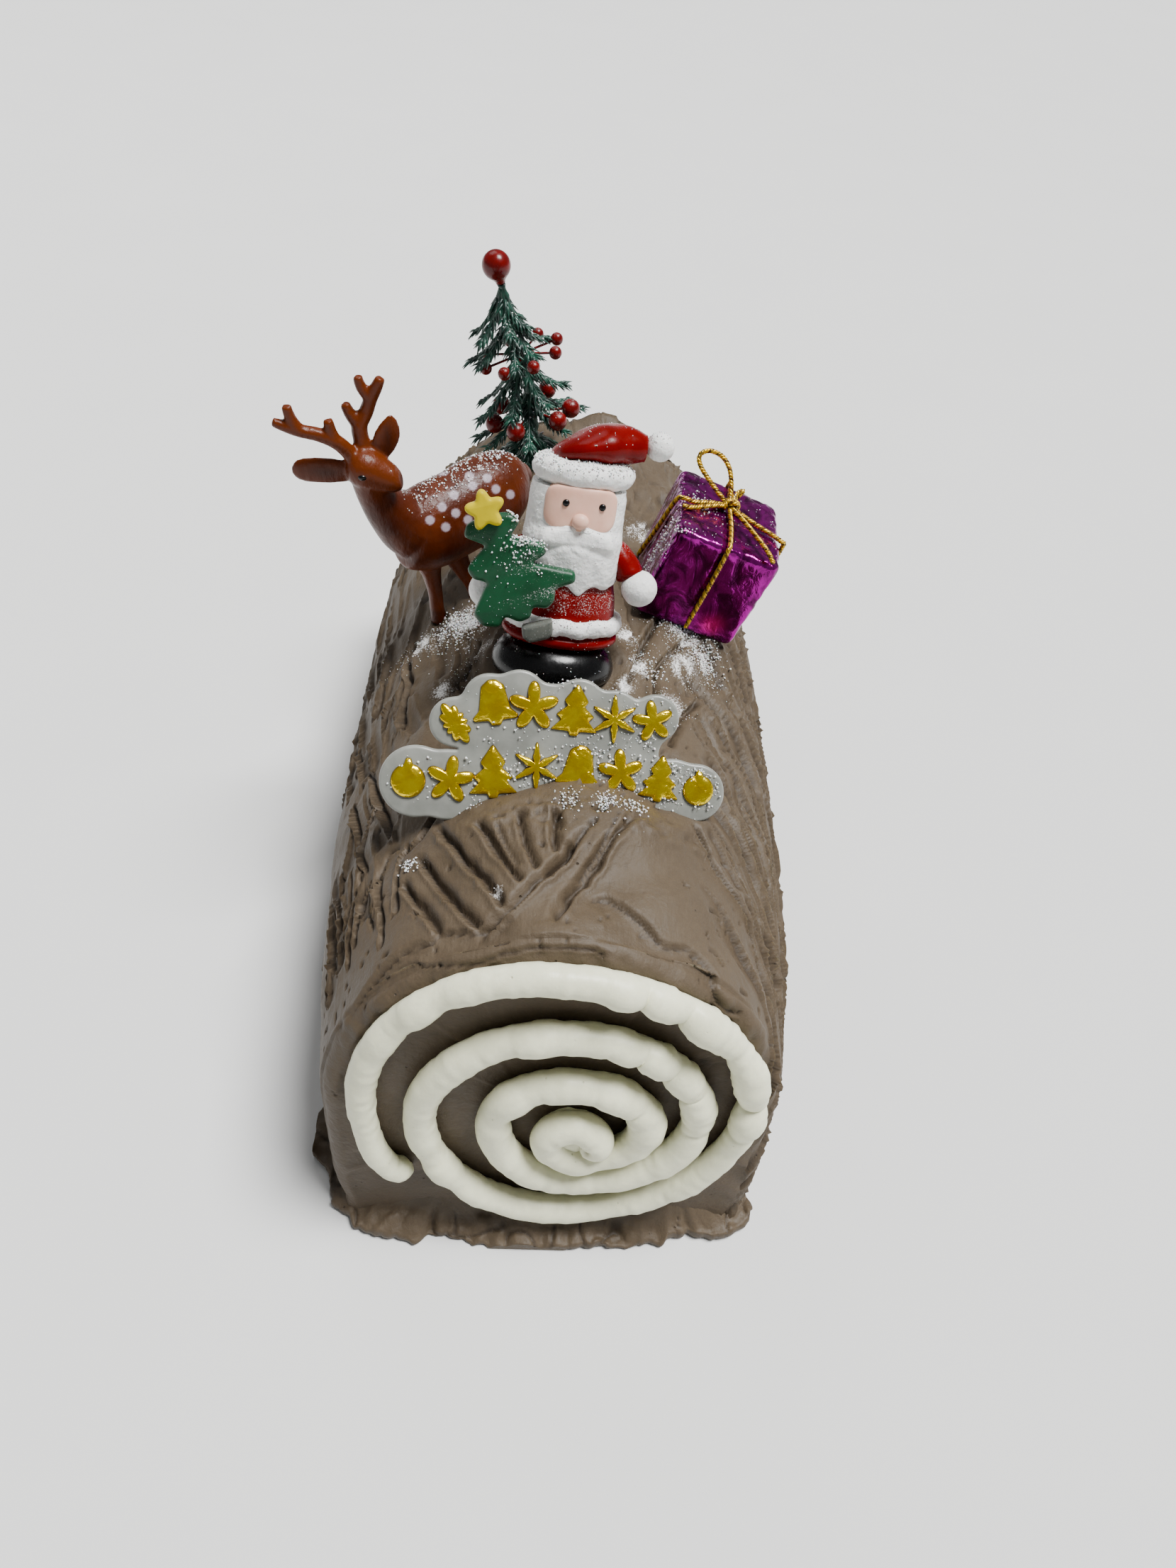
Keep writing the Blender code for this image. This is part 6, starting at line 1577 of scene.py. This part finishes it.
@dataclass
class FirPick(SubAssembly):
    """The fir topper: drooping needled sprigs in tiers on a leaning stem, with berries and a red ball."""
    y: float = 82.0
    tiers: tuple[tuple[float, float, float, int], ...] = (
        (104.0, 114.0, 15.4, 8), (112.0, 125.5, 12.6, 7), (125.0, 135.5, 10.4, 7), (131.5, 142.8, 7.2, 6))
    tilt: float = 0.32
    berry: float = 1.8
    bauble: float = 2.7
    ball: float = 3.85

    def stem(self, z: Array) -> Array:
        """The stem's middle at height z, which leans further left the higher it is."""
        rise = np.maximum(0.0, np.asarray(z, float) - 103.0)
        return np.stack([-12.0 - 0.16 * rise - 0.0024 * rise ** 2, self.y + 0.0 * rise, np.asarray(z) + 0.0 * rise],
                        axis=-1)

    def build(self) -> None:
        """The sprigs, both berry rings and the ball."""
        sprigs = np.concatenate([self.tier(number, *tier) for number, tier in enumerate(self.tiers)]
                                + [self.roots()])
        height = np.linspace(86.0, 143.6, 60)
        stem = swept(self.stem(height), 1.15 + 0.25 * np.cos(height * 1.7), 12, 0.8).marked("tip", 0.0)
        stalks = swept(sprigs, np.linspace(0.75, 0.30, sprigs.shape[1]), 6).marked("tip", 0.1)
        green = Shape.joined([stem, stalks, self.needles(sprigs)])
        up = step(green.normals()[:, 2], 0.2, 0.8)
        x, y, z = green.points.T
        green.marked("dust", 0.35 * up * step(noise(67, x / 2.4, y / 2.4, z / 2.4), 0.3, 0.7))
        self.add("fir_needles", green, FIR, "fir_sprigs")
        self.add("fir_berry_ring", self.beads(124.7, 10.4, self.berry, [24.0 + 45.0 * i for i in range(8)], 0.32),
                 BERRY_RED, "fir_berries")
        self.add("fir_bauble_ring", self.beads(107.8, 11.4, self.bauble, [16, 50, 113, 162, 215, 290], 0.28),
                 BERRY_RED, "fir_baubles")
        turn = np.linspace(0.02, 0.76 * pi, 30)
        rows = np.stack([np.sin(turn), np.cos(turn)], axis=1) * self.ball
        neck = through(((rows[-1]), (1.75, -3.7), (1.35, -4.3), (1.3, -4.65)), 8)[1:]
        profile = np.concatenate([rows, neck])
        around = np.arange(40) * 2.0 * pi / 40
        radius, high = profile.T[:, :, None]
        ball = Shape.lattice(np.stack([radius * np.cos(around), radius * np.sin(around), high + 0.0 * around],
                                      axis=-1))
        ball.carried(Stand((-23.8, self.y, 148.5), (0.0, -15.0, 0.0))).marked("dust", 0.0)
        self.add("fir_ball", ball, BERRY_RED, "fir_top_ball")

    def tier(self, number: int, tip: float, top: float, reach: float, count: int) -> Array:
        """Sprigs that leave the stem at top, arch out and hang down to tip; the right side hangs less."""
        draw = np.random.default_rng(80 + number)
        turn = 2.0 * pi * (np.arange(count) + draw.uniform(-0.25, 0.25, count)) / count + number
        out = np.stack([np.cos(turn), np.sin(turn), 0.0 * turn], axis=1)[:, None]
        far = (reach * draw.uniform(0.8, 1.0, count))[:, None, None]
        share = np.linspace(0.0, 1.0, 12)[None, :, None]
        start = self.stem(top + draw.uniform(-1.0, 1.0, count))[:, None]
        drop = (top - tip) * (1.35 * share - 0.35 * share ** 3)
        raised = self.tilt * far * np.cos(turn)[:, None, None] * share
        return start + out * far * share ** 1.15 + (raised - drop) * np.array((0.0, 0.0, 1.0))

    def roots(self) -> Array:
        """The base leaves that spread over the cream."""
        turn = np.radians((160.0, 190.0, 215.0, 250.0, 280.0, 310.0, 335.0, 50.0, 100.0))
        share = np.linspace(0.0, 1.0, 12)[None, :, None]
        out = np.stack([np.cos(turn), np.sin(turn), 0.0 * turn], axis=1)[:, None]
        return (self.stem(np.full(len(turn), 99.0))[:, None] + out * 10.0 * share
                - np.array((0.0, 0.0, 1.0)) * 6.5 * share ** 1.6)

    @staticmethod
    def needles(sprigs: Array) -> Shape:
        """Pointed needles in pairs along every sprig, leaning forward at about 40 degrees to it."""
        draw = np.random.default_rng(90)
        tangent = np.gradient(sprigs, axis=1)
        tangent /= np.linalg.norm(tangent, axis=2, keepdims=True)
        level = np.cross(tangent, (0.0, 0.0, 1.0))
        level /= np.maximum(np.linalg.norm(level, axis=2, keepdims=True), 1e-6)
        share = np.linspace(0.0, 1.0, sprigs.shape[1])[None, :, None]
        batches = []
        for side in (-1.15, -0.5, 0.5, 1.15):
            lean = draw.uniform(1.0, 1.7, sprigs.shape[:2])[..., None]
            sag = draw.uniform(-0.35, 0.30, sprigs.shape[:2])[..., None]
            way = tangent * lean + level * side + np.array((0.0, 0.0, 1.0)) * sag
            way /= np.linalg.norm(way, axis=2, keepdims=True)
            long = (5.6 - 2.2 * share) * draw.uniform(0.75, 1.15, sprigs.shape[:2])[..., None]
            root = (sprigs + tangent * draw.uniform(-0.5, 0.5, sprigs.shape[:2])[..., None])[:, 2:]
            tip = root + (way * long)[:, 2:]
            droop = np.array((0.0, 0.0, -0.35))
            batches.append(np.stack([root, root + 0.5 * (tip - root) - droop * 0.4, tip + droop], axis=2))
        paths = np.concatenate([batch.reshape(-1, 3, 3) for batch in batches])
        shape = swept(paths, np.array([0.46, 0.48, 0.10]), 5, 0.6)
        tips = np.tile(np.repeat((0.0, 0.55, 1.0), 5), len(paths))
        ends = np.concatenate([np.zeros(len(paths)), np.ones(len(paths))])
        return shape.marked("tip", np.concatenate([tips, ends]))

    def beads(self, height: float, reach: float, radius: float, turns: Sequence[float], tilt: float) -> Shape:
        """A ring threaded on the stem, with an arm that swells into a ball for each berry."""
        centre = self.stem(height)
        turn = np.radians(np.array(turns, float))
        way = np.stack([np.cos(turn), -np.sin(turn), tilt * np.cos(turn)], axis=1)
        arms = swept(centre + way[:, None] * np.linspace(2.4, reach, 8)[:, None], np.full(8, 0.36), 8)
        balls = [rounded_ball(tuple(centre + w * reach), (radius,) * 3, 24) for w in way]
        around = np.linspace(0.0, 2.0 * pi, 48, endpoint=False)
        roll = np.linspace(0.0, 2.0 * pi, 10, endpoint=False)
        out = 2.9 + 0.7 * np.cos(roll)
        hub = np.stack([centre[0] + out * np.cos(around)[:, None], centre[1] + out * np.sin(around)[:, None],
                        centre[2] + 0.7 * np.sin(roll) + tilt * out * np.cos(around)[:, None]], axis=-1)
        made = Shape.joined([arms, *balls, Shape.lattice(hub, (True, True), poles=False)])
        return made.marked("dust", 0.3 * step(made.normals()[:, 2], 0.4, 0.9))


@dataclass
class Parcel(SubAssembly):
    """A cube wrapped in crumpled foil and tied with a twisted gold cord."""
    stand: Stand = Stand((33.9, 18.8, 105.2), (0.0, 18.0, -5.1))
    size: float = 27.8
    cord: float = 0.55
    pitch: float = 2.3

    def build(self) -> None:
        """The foil and the cord."""
        self.foil()
        self.tie()

    def foil(self) -> None:
        """A rounded cube: its points divided by their sixteenth-power norm, then creased along its folds."""
        count = 58
        line = np.sin(np.linspace(-0.5 * pi, 0.5 * pi, count) * 0.96) / sin(0.48 * pi)
        u, v = np.meshgrid(line, line, indexing="ij")
        faces = []
        for axis in range(3):
            for side in (-1.0, 1.0):
                cube = np.stack([np.full_like(u, side), u * side, v], axis=-1)
                faces.append(np.roll(cube, axis, axis=-1))
        cube = np.array(faces)
        shape = Shape.lattice(cube, (False, False), poles=False)
        _, first, where = np.unique(np.round(shape.points, 6), axis=0, return_index=True, return_inverse=True)
        where = where.ravel()
        shape = Shape(shape.points[first], where[shape.quads], shape.tris).facing_out()
        unit = shape.points
        norm = np.sum(np.abs(unit) ** 16, axis=1, keepdims=True) ** (1.0 / 16.0)
        shape.points = 0.5 * self.size * unit / norm
        x, y, z = (shape.points / (0.5 * self.size)).T
        folds = sum(0.34 * np.abs(noise(seed, 1.6 * x * a, 1.6 * y * a, 0.9 * z * a)) / a
                    for seed, a in ((100, 1.0), (101, 2.1), (102, 4.6)))
        edge = np.sort(np.abs(shape.points), axis=1)[:, 1] / (0.5 * self.size)
        crimps = 0.22 * step(edge, 0.72, 0.98) * noise(103, 7.0 * x, 7.0 * y, 7.0 * z)
        pinch = -0.35 * np.clip(1.0 - np.minimum(np.abs(x + 0.05), np.abs(y + 0.05)) / 0.10, 0.0, 1.0)
        shape.swollen(-0.8 * folds + crimps + pinch * step(z, -1.2, -0.9) + 0.05)
        top = step(z, 0.9, 0.98)
        powder = noise(104, 5.0 * x, 5.0 * y, 5.0 * z)
        rim = bump(np.minimum(np.abs(x + 1.0), np.abs(y + 1.0)) / 0.16, 1.0) * step(z, 0.82, 0.98)
        knot = bump(np.hypot(x + 0.35, y - 0.05) / 0.45, 1.0) * top
        foot = 0.7 * step(-z, 0.55, 0.95) * step(-y - x, 0.6, 1.4)
        shape.marked("dust", np.clip((0.16 * rim + 0.10 * knot + 0.25 * foot) * (0.3 + 1.2 * powder), 0.0, 0.5))
        shape.marked("scuff", 0.8 * step(-x, 0.93, 0.99) + 0.12 * top * step(-x, 0.2, 0.9))
        # painted highlight: a soft patch on the front face's lower right
        glow = bump(np.hypot((y + 1.0) / 0.3, np.hypot(x - 0.45, z + 0.62) / 0.2), 1.0)
        shape.marked("glow", 0.85 * glow)
        self.add("parcel_foil", shape.carried(self.stand), PURPLE, "parcel")

    def tie(self) -> None:
        """The cord's runs over the faces, its loops, its tail and the knot, each of two twisted strands."""
        half = 0.5 * self.size
        rise = half + self.cord + 0.15
        knot = (-1.2, 2.2, rise + 0.5)
        runs = (
            (knot, (-0.4, -5.0, rise), (-0.6, -half + 0.6, rise), (-0.6, -rise, half - 1.0), (0.0, -rise, 2.0),
             (0.4, -rise, -12.0)),
            (knot, (5.0, 0.2, rise), (half - 0.6, -3.0, rise), (rise, -3.2, half - 1.0), (rise, -2.8, 0.0),
             (rise, -2.4, 1.0 - half)),
            (knot, (-6.0, 0.6, rise + 0.4), (-10.4, -1.4, rise), (-half + 0.6, -1.6, rise),
             (-rise, -1.0, half - 1.2), (-rise, 2.0, 2.0), (-rise, 6.4, -11.0)),
            (knot, (-5.0, -0.6, rise + 0.9), (-10.8, -4.2, rise + 0.1), (-half + 0.4, -5.0, rise)),
            (knot, (-0.8, 8.0, rise), (-0.4, half - 0.6, rise), (-0.4, rise, half - 1.0), (0.0, rise, 0.0),
             (0.4, rise, -12.0)),
            (knot, (-2.2, 4.9, rise + 3.6), (-4.4, 7.2, rise + 6.9), (-7.4, 8.7, rise + 8.5),
             (-10.7, 9.1, rise + 8.3), (-12.5, 8.2, rise + 6.7), (-11.0, 6.8, rise + 4.6), (-6.0, 4.4, rise + 2.2),
             (-2.6, 2.8, rise + 0.9)),
            (knot, (2.2, -3.6, rise + 1.6), (8.2, -11.4, rise + 1.5), (10.6, -15.0, rise + 0.8)),
            (knot, (0.2, 4.4, rise + 2.4), (0.9, 5.2, rise + 4.0), (-0.4, 4.2, rise + 3.4), (-1.2, 2.4, rise + 1.0)),
            ((-2.8, 3.4, rise), (-1.0, 3.6, rise + 1.8), (0.8, 2.2, rise + 1.5), (0.2, 0.8, rise + 0.2)),
            ((-2.6, 0.6, rise), (-2.2, 1.6, rise + 1.9), (-0.6, 3.2, rise + 2.1), (0.8, 3.8, rise + 0.2)),
            ((-3.2, 2.0, rise), (-1.6, 1.2, rise + 2.2), (0.2, 1.6, rise + 2.0), (1.2, 2.8, rise + 0.2)))
        strands = [strand for run in runs for strand in self.twisted(run)]
        shape = Shape.joined(strands)
        x, y, z = shape.points.T
        shape.marked("dust", 0.45 * bump(np.hypot(x + 1.2, y - 2.2) / 5.0, 1.0) * step(noise(105, x, y, z), 0.0, 0.6))
        self.add("parcel_thread", shape.carried(self.stand), THREAD, "parcel_cord")

    def twisted(self, run: Sequence[Point]) -> list[Shape]:
        """Two strands wound round a run: each circles its middle line once in every pitch."""
        line = evened(through(run, 14 * len(run)), 400)
        length = np.linalg.norm(np.diff(line, axis=0), axis=1).sum()
        line = evened(line, max(12, int(length / self.pitch * 9)))
        turn = 2.0 * pi * np.linspace(0.0, length / self.pitch, len(line))
        tangent = np.gradient(line, axis=0)
        tangent /= np.linalg.norm(tangent, axis=1, keepdims=True)
        side = np.cross(tangent, (0.31, 0.52, 0.79))
        side /= np.linalg.norm(side, axis=1, keepdims=True)
        lift = np.cross(side, tangent)
        strands = []
        for number, phase in enumerate((0.0, 2.0 * pi / 3.0, 4.0 * pi / 3.0)):
            swing = np.cos(turn + phase)[:, None] * side + np.sin(turn + phase)[:, None] * lift
            strand = swept(line + 0.31 * swing, 0.33 * blunt(len(line), 40.0), 7)
            # the third strand carries the painted shade mark
            strands.append(strand.marked("strand", 1.0 if number == 2 else 0.0))
        return strands


# ---------------------------------------------------------------- sugar

@dataclass(frozen=True)
class Drift:
    """A fall of sugar on one piece: how many grains, their size, and where they settle."""
    piece: str
    count: int
    size: float
    where: Callable[[Array, Array], Array]
    heap: float = 0.3


@dataclass
class SugarDusting(SubAssembly):
    """Icing sugar that was sifted over the finished cake: loose grains and small soft clumps."""
    others: Sequence[SubAssembly] = ()

    def build(self) -> None:
        """Grains on every drift's piece, then the clumps."""
        shapes = {piece.name: piece.shape for part in self.others for piece in part.pieces}
        for name, seed, drifts in (("sugar_grains", 200, self.grains()), ("sugar_clumps", 300, self.clumps())):
            draw = np.random.default_rng(seed)
            self.add(name, Shape.joined([self.settled(shapes[drift.piece], drift, draw) for drift in drifts]), SUGAR)

    @staticmethod
    def spots(*places: tuple[float, float, float, float]) -> Callable[[Array, Array], Array]:
        """A chance that is high near (x, y, radius, strength) places, for surfaces that face up."""
        def chance(points: Array, normals: Array) -> Array:
            near = sum(strength * bump(np.hypot(points[:, 0] - x, points[:, 1] - y), radius)
                       for x, y, radius, strength in places)
            return near * step(normals[:, 2], 0.1, 0.7)
        return chance

    @staticmethod
    def upward(low: float, above: float = -1e3, right_of: float = -1e3) -> Callable[[Array, Array], Array]:
        """A chance that grows where a surface faces up, above a height and right of an x."""
        def chance(points: Array, normals: Array) -> Array:
            return (step(normals[:, 2], low, 0.95) * step(points[:, 2], above, above + 2.0)
                    * step(points[:, 0], right_of, right_of + 3.0))
        return chance

    def grains(self) -> tuple[Drift, ...]:
        """Where single grains lie."""
        log = self.spots((27.0, 6.0, 6.0, 1.0), (33.0, -4.0, 5.5, 0.8), (-27.0, 3.0, 6.0, 0.9), (-40.0, 4.0, 5.0, 0.6),
                         (17.0, -8.0, 4.5, 0.5), (24.0, -22.0, 4.0, 0.5), (-24.0, -14.0, 5.0, 0.3),
                         (-18.0, 62.0, 10.0, 0.2), (4.0, -61.0, 7.0, 0.15))
        plate_middle = self.spots((6.0, -54.0, 12.0, 1.0), (8.0, -42.0, 14.0, 0.4))
        return (Drift("log_cream", 1500, 0.14, log), Drift("hat_brim", 700, 0.17, self.upward(0.2)),
                Drift("hat", 45, 0.14, self.upward(0.2)), Drift("coat", 500, 0.10, self.upward(-0.9, 100.0)),
                Drift("coat_trim", 260, 0.17, self.upward(0.2)), Drift("boots", 90, 0.16, self.upward(-0.5)),
                Drift("held_fir", 120, 0.10, self.upward(-0.2)), Drift("head_and_beard", 300, 0.15, self.upward(0.0)),
                Drift("reindeer_hide", 300, 0.14, self.upward(0.4, 118.0, -44.0)),
                Drift("plaque_sheet", 420, 0.18, plate_middle), Drift("parcel_foil", 110, 0.14, self.upward(0.5)),
                Drift("fir_needles", 300, 0.16, self.upward(0.2)), Drift("pompom", 60, 0.15, self.upward(0.2)))

    def clumps(self) -> tuple[Drift, ...]:
        """Where grains have gathered into clumps."""
        log = self.spots((28.0, 7.0, 4.0, 1.2), (35.0, 0.0, 3.6, 1.0), (-28.0, 4.5, 5.0, 1.0), (-23.0, -57.0, 2.4, 1.0),
                         (-32.9, -70.4, 1.3, 1.6), (-14.0, -82.0, 0.8, 0.4), (0.0, -60.5, 2.2, 1.0),
                         (8.0, -60.5, 2.2, 1.2), (14.0, -60.0, 2.0, 1.0), (20.0, -14.0, 3.0, 0.6))
        plate_middle = self.spots((1.0, -52.0, 5.0, 1.2), (8.0, -53.0, 5.0, 1.5), (15.0, -55.0, 3.5, 1.2),
                                  (-16.0, -56.0, 2.0, 0.8), (-2.0, -40.0, 3.0, 0.6), (8.0, -41.0, 3.0, 0.6),
                                  (20.0, -42.0, 2.4, 0.6))
        shoulder = self.spots((-13.0, -18.0, 2.6, 1.5), (-8.0, -17.0, 2.0, 0.5))
        return (Drift("log_cream", 1500, 0.27, log, 0.9), Drift("plaque_sheet", 700, 0.30, plate_middle, 1.0),
                Drift("hat_brim", 420, 0.26, self.upward(0.35), 0.4), Drift("held_fir", 220, 0.26, shoulder, 0.7),
                Drift("reindeer_hide", 200, 0.28, self.upward(0.8, 121.0, -40.0), 0.4),
                Drift("parcel_foil", 220, 0.26, self.spots((20.0, 14.0, 3.0, 1.0), (24.0, 5.5, 3.0, 1.0),
                                                         (30.0, 19.0, 3.0, 0.6)), 0.5),
                Drift("fir_needles", 160, 0.28, self.upward(0.4), 0.4))

    @staticmethod
    def settled(shape: Shape, drift: Drift, draw: np.random.Generator) -> Shape:
        """Grains on a surface: faces drawn by area times chance, and a rough eight-sided grain on each.

        Args:
            shape: The surface.
            drift: What falls on it.
            draw: The source of random numbers.

        Returns:
            The grains as one shape.
        """
        corners = shape.corners()
        a, b, c = (shape.points[corners[:, k]] for k in range(3))
        way = np.cross(b - a, c - a)
        area = np.linalg.norm(way, axis=1)
        normal = way / np.maximum(area, 1e-9)[:, None]
        chance = area * drift.where((a + b + c) / 3.0, normal)
        chosen = draw.choice(len(area), drift.count, p=chance / chance.sum())
        u, v = draw.random((2, drift.count, 1))
        u, v = np.where(u + v > 1.0, 1.0 - u, u), np.where(u + v > 1.0, 1.0 - v, v)
        lift = drift.heap * draw.random((drift.count, 1)) ** 2 * drift.size * 2.5
        place = a[chosen] + u * (b[chosen] - a[chosen]) + v * (c[chosen] - a[chosen])
        place = place + normal[chosen] * (lift + 0.2 * drift.size)
        unit = np.array(((1, 0, 0), (0, 1, 0), (-1, 0, 0), (0, -1, 0), (0, 0, -1), (0, 0, 1)), float)
        size = drift.size * draw.uniform(0.45, 1.35, (drift.count, 1, 1))
        grain = unit * size * draw.uniform(0.6, 1.3, (drift.count, 6, 1))
        spin = draw.uniform(0.0, 2.0 * pi, drift.count)
        turned = np.stack([grain[..., 0] * np.cos(spin)[:, None] - grain[..., 1] * np.sin(spin)[:, None],
                           grain[..., 0] * np.sin(spin)[:, None] + grain[..., 1] * np.cos(spin)[:, None],
                           grain[..., 2]], axis=-1)
        faces = np.array([(i, (i + 1) % 4, 5) for i in range(4)] + [((i + 1) % 4, i, 4) for i in range(4)])
        tris = (faces + 6 * np.arange(drift.count)[:, None, None]).reshape(-1, 3)
        return Shape((place[:, None] + turned).reshape(-1, 3), np.zeros((0, 4), int), tris).facing_out()


# ---------------------------------------------------------------- the studio

@dataclass
class Studio:
    """A pale floor, soft light from above and behind, and the camera."""
    camera_place: Point = (-8.3616, -210.9099, 271.7360)
    camera_right: Point = (0.997409089, 0.000415313764, 0.0719370285)
    camera_down: Point = (0.0483507217, -0.744305137, -0.666087134)
    lens: float = 16.64
    film_height: float = 24.0
    floor_size: float = 8.0

    def build(self) -> None:
        """Floor, lights, sky and camera."""
        self.floor()
        self.light("key", "SUN", (0.34, 0.0, 1.0), radians(22.0), 7.8)
        self.light("back_panel", "AREA", (-0.30, 0.60, 0.90), 0.5, 2.0)
        self.sky()
        self.camera()

    def floor(self) -> None:
        """A wide pale sheet just under the log."""
        half = 0.5 * self.floor_size
        mesh = bpy.data.meshes.new("floor")
        mesh.from_pydata([(-half, -half, -0.0003), (half, -half, -0.0003), (half, half, -0.0003),
                          (-half, half, -0.0003)], [], [(0, 1, 2, 3)])
        paint = Paint("floor_paper")
        paint.feed(paint.shader, {
            "Base Color": paint.blend(paint.grain(60.0, 2.0), (0.63, 0.63, 0.62), (0.66, 0.66, 0.65)),
            "Roughness": 0.8})
        mesh.materials.append(paint.material)
        sheet = bpy.data.objects.new("floor", mesh)
        bpy.context.scene.collection.objects.link(sheet)

    @staticmethod
    def light(name: str, kind: str, place: Point, size: float, power: float) -> None:
        """A soft light aimed at the middle of the cake; size is a panel's side or the key's angle."""
        lamp = bpy.data.lights.new(name, kind)
        setattr(lamp, "angle" if kind == "SUN" else "size", size)
        lamp.energy = power
        item = bpy.data.objects.new(name, lamp)
        item.location = Vector(place)
        item.rotation_euler = (Vector((0.0, 0.0, 0.06)) - item.location).to_track_quat("-Z", "Y").to_euler()
        bpy.context.scene.collection.objects.link(item)

    @staticmethod
    def sky() -> None:
        """An even pale room."""
        world = bpy.data.worlds.new("studio")
        world.use_nodes = True
        world.node_tree.nodes["Background"].inputs[0].default_value = (0.95, 0.97, 1.0, 1.0)
        world.node_tree.nodes["Background"].inputs[1].default_value = 0.24
        bpy.context.scene.world = world

    def camera(self) -> None:
        """The camera, from the directions of its right and its down."""
        right, down = Vector(self.camera_right), Vector(self.camera_down)
        ahead = right.cross(down)
        data = bpy.data.cameras.new("camera")
        data.sensor_fit = "VERTICAL"
        data.sensor_height = self.film_height
        data.lens = self.lens
        data.clip_start = 0.01
        item = bpy.data.objects.new("camera", data)
        turn = Matrix((right, -down, -ahead)).transposed()
        item.matrix_world = Matrix.Translation(Vector(self.camera_place) * MM) @ turn.to_4x4()
        bpy.context.scene.collection.objects.link(item)
        bpy.context.scene.camera = item


def main() -> None:
    """Build and dress every sub-assembly, then set the studio."""
    logging.basicConfig(level=logging.INFO, format="%(name)s %(message)s")
    parts = [CreamLog(), PipedSpiral(), Plaque(), FatherChristmas(), Reindeer(), FirPick(), Parcel(),
             PipedSpiral(node="back_spiral", face_y=110.0, lean=-0.05, outward=1.0, size=0.8, stations=560)]
    for part in parts:
        part.build()
    parts.append(SugarDusting(parts[:]))
    parts[-1].build()
    for part in parts:
        part.dress()
    Studio().build()
    REPORT.info("%d pieces in all", sum(len(part.pieces) for part in parts))


if __name__ == "__main__":
    main()
    bpy.context.view_layer.update()
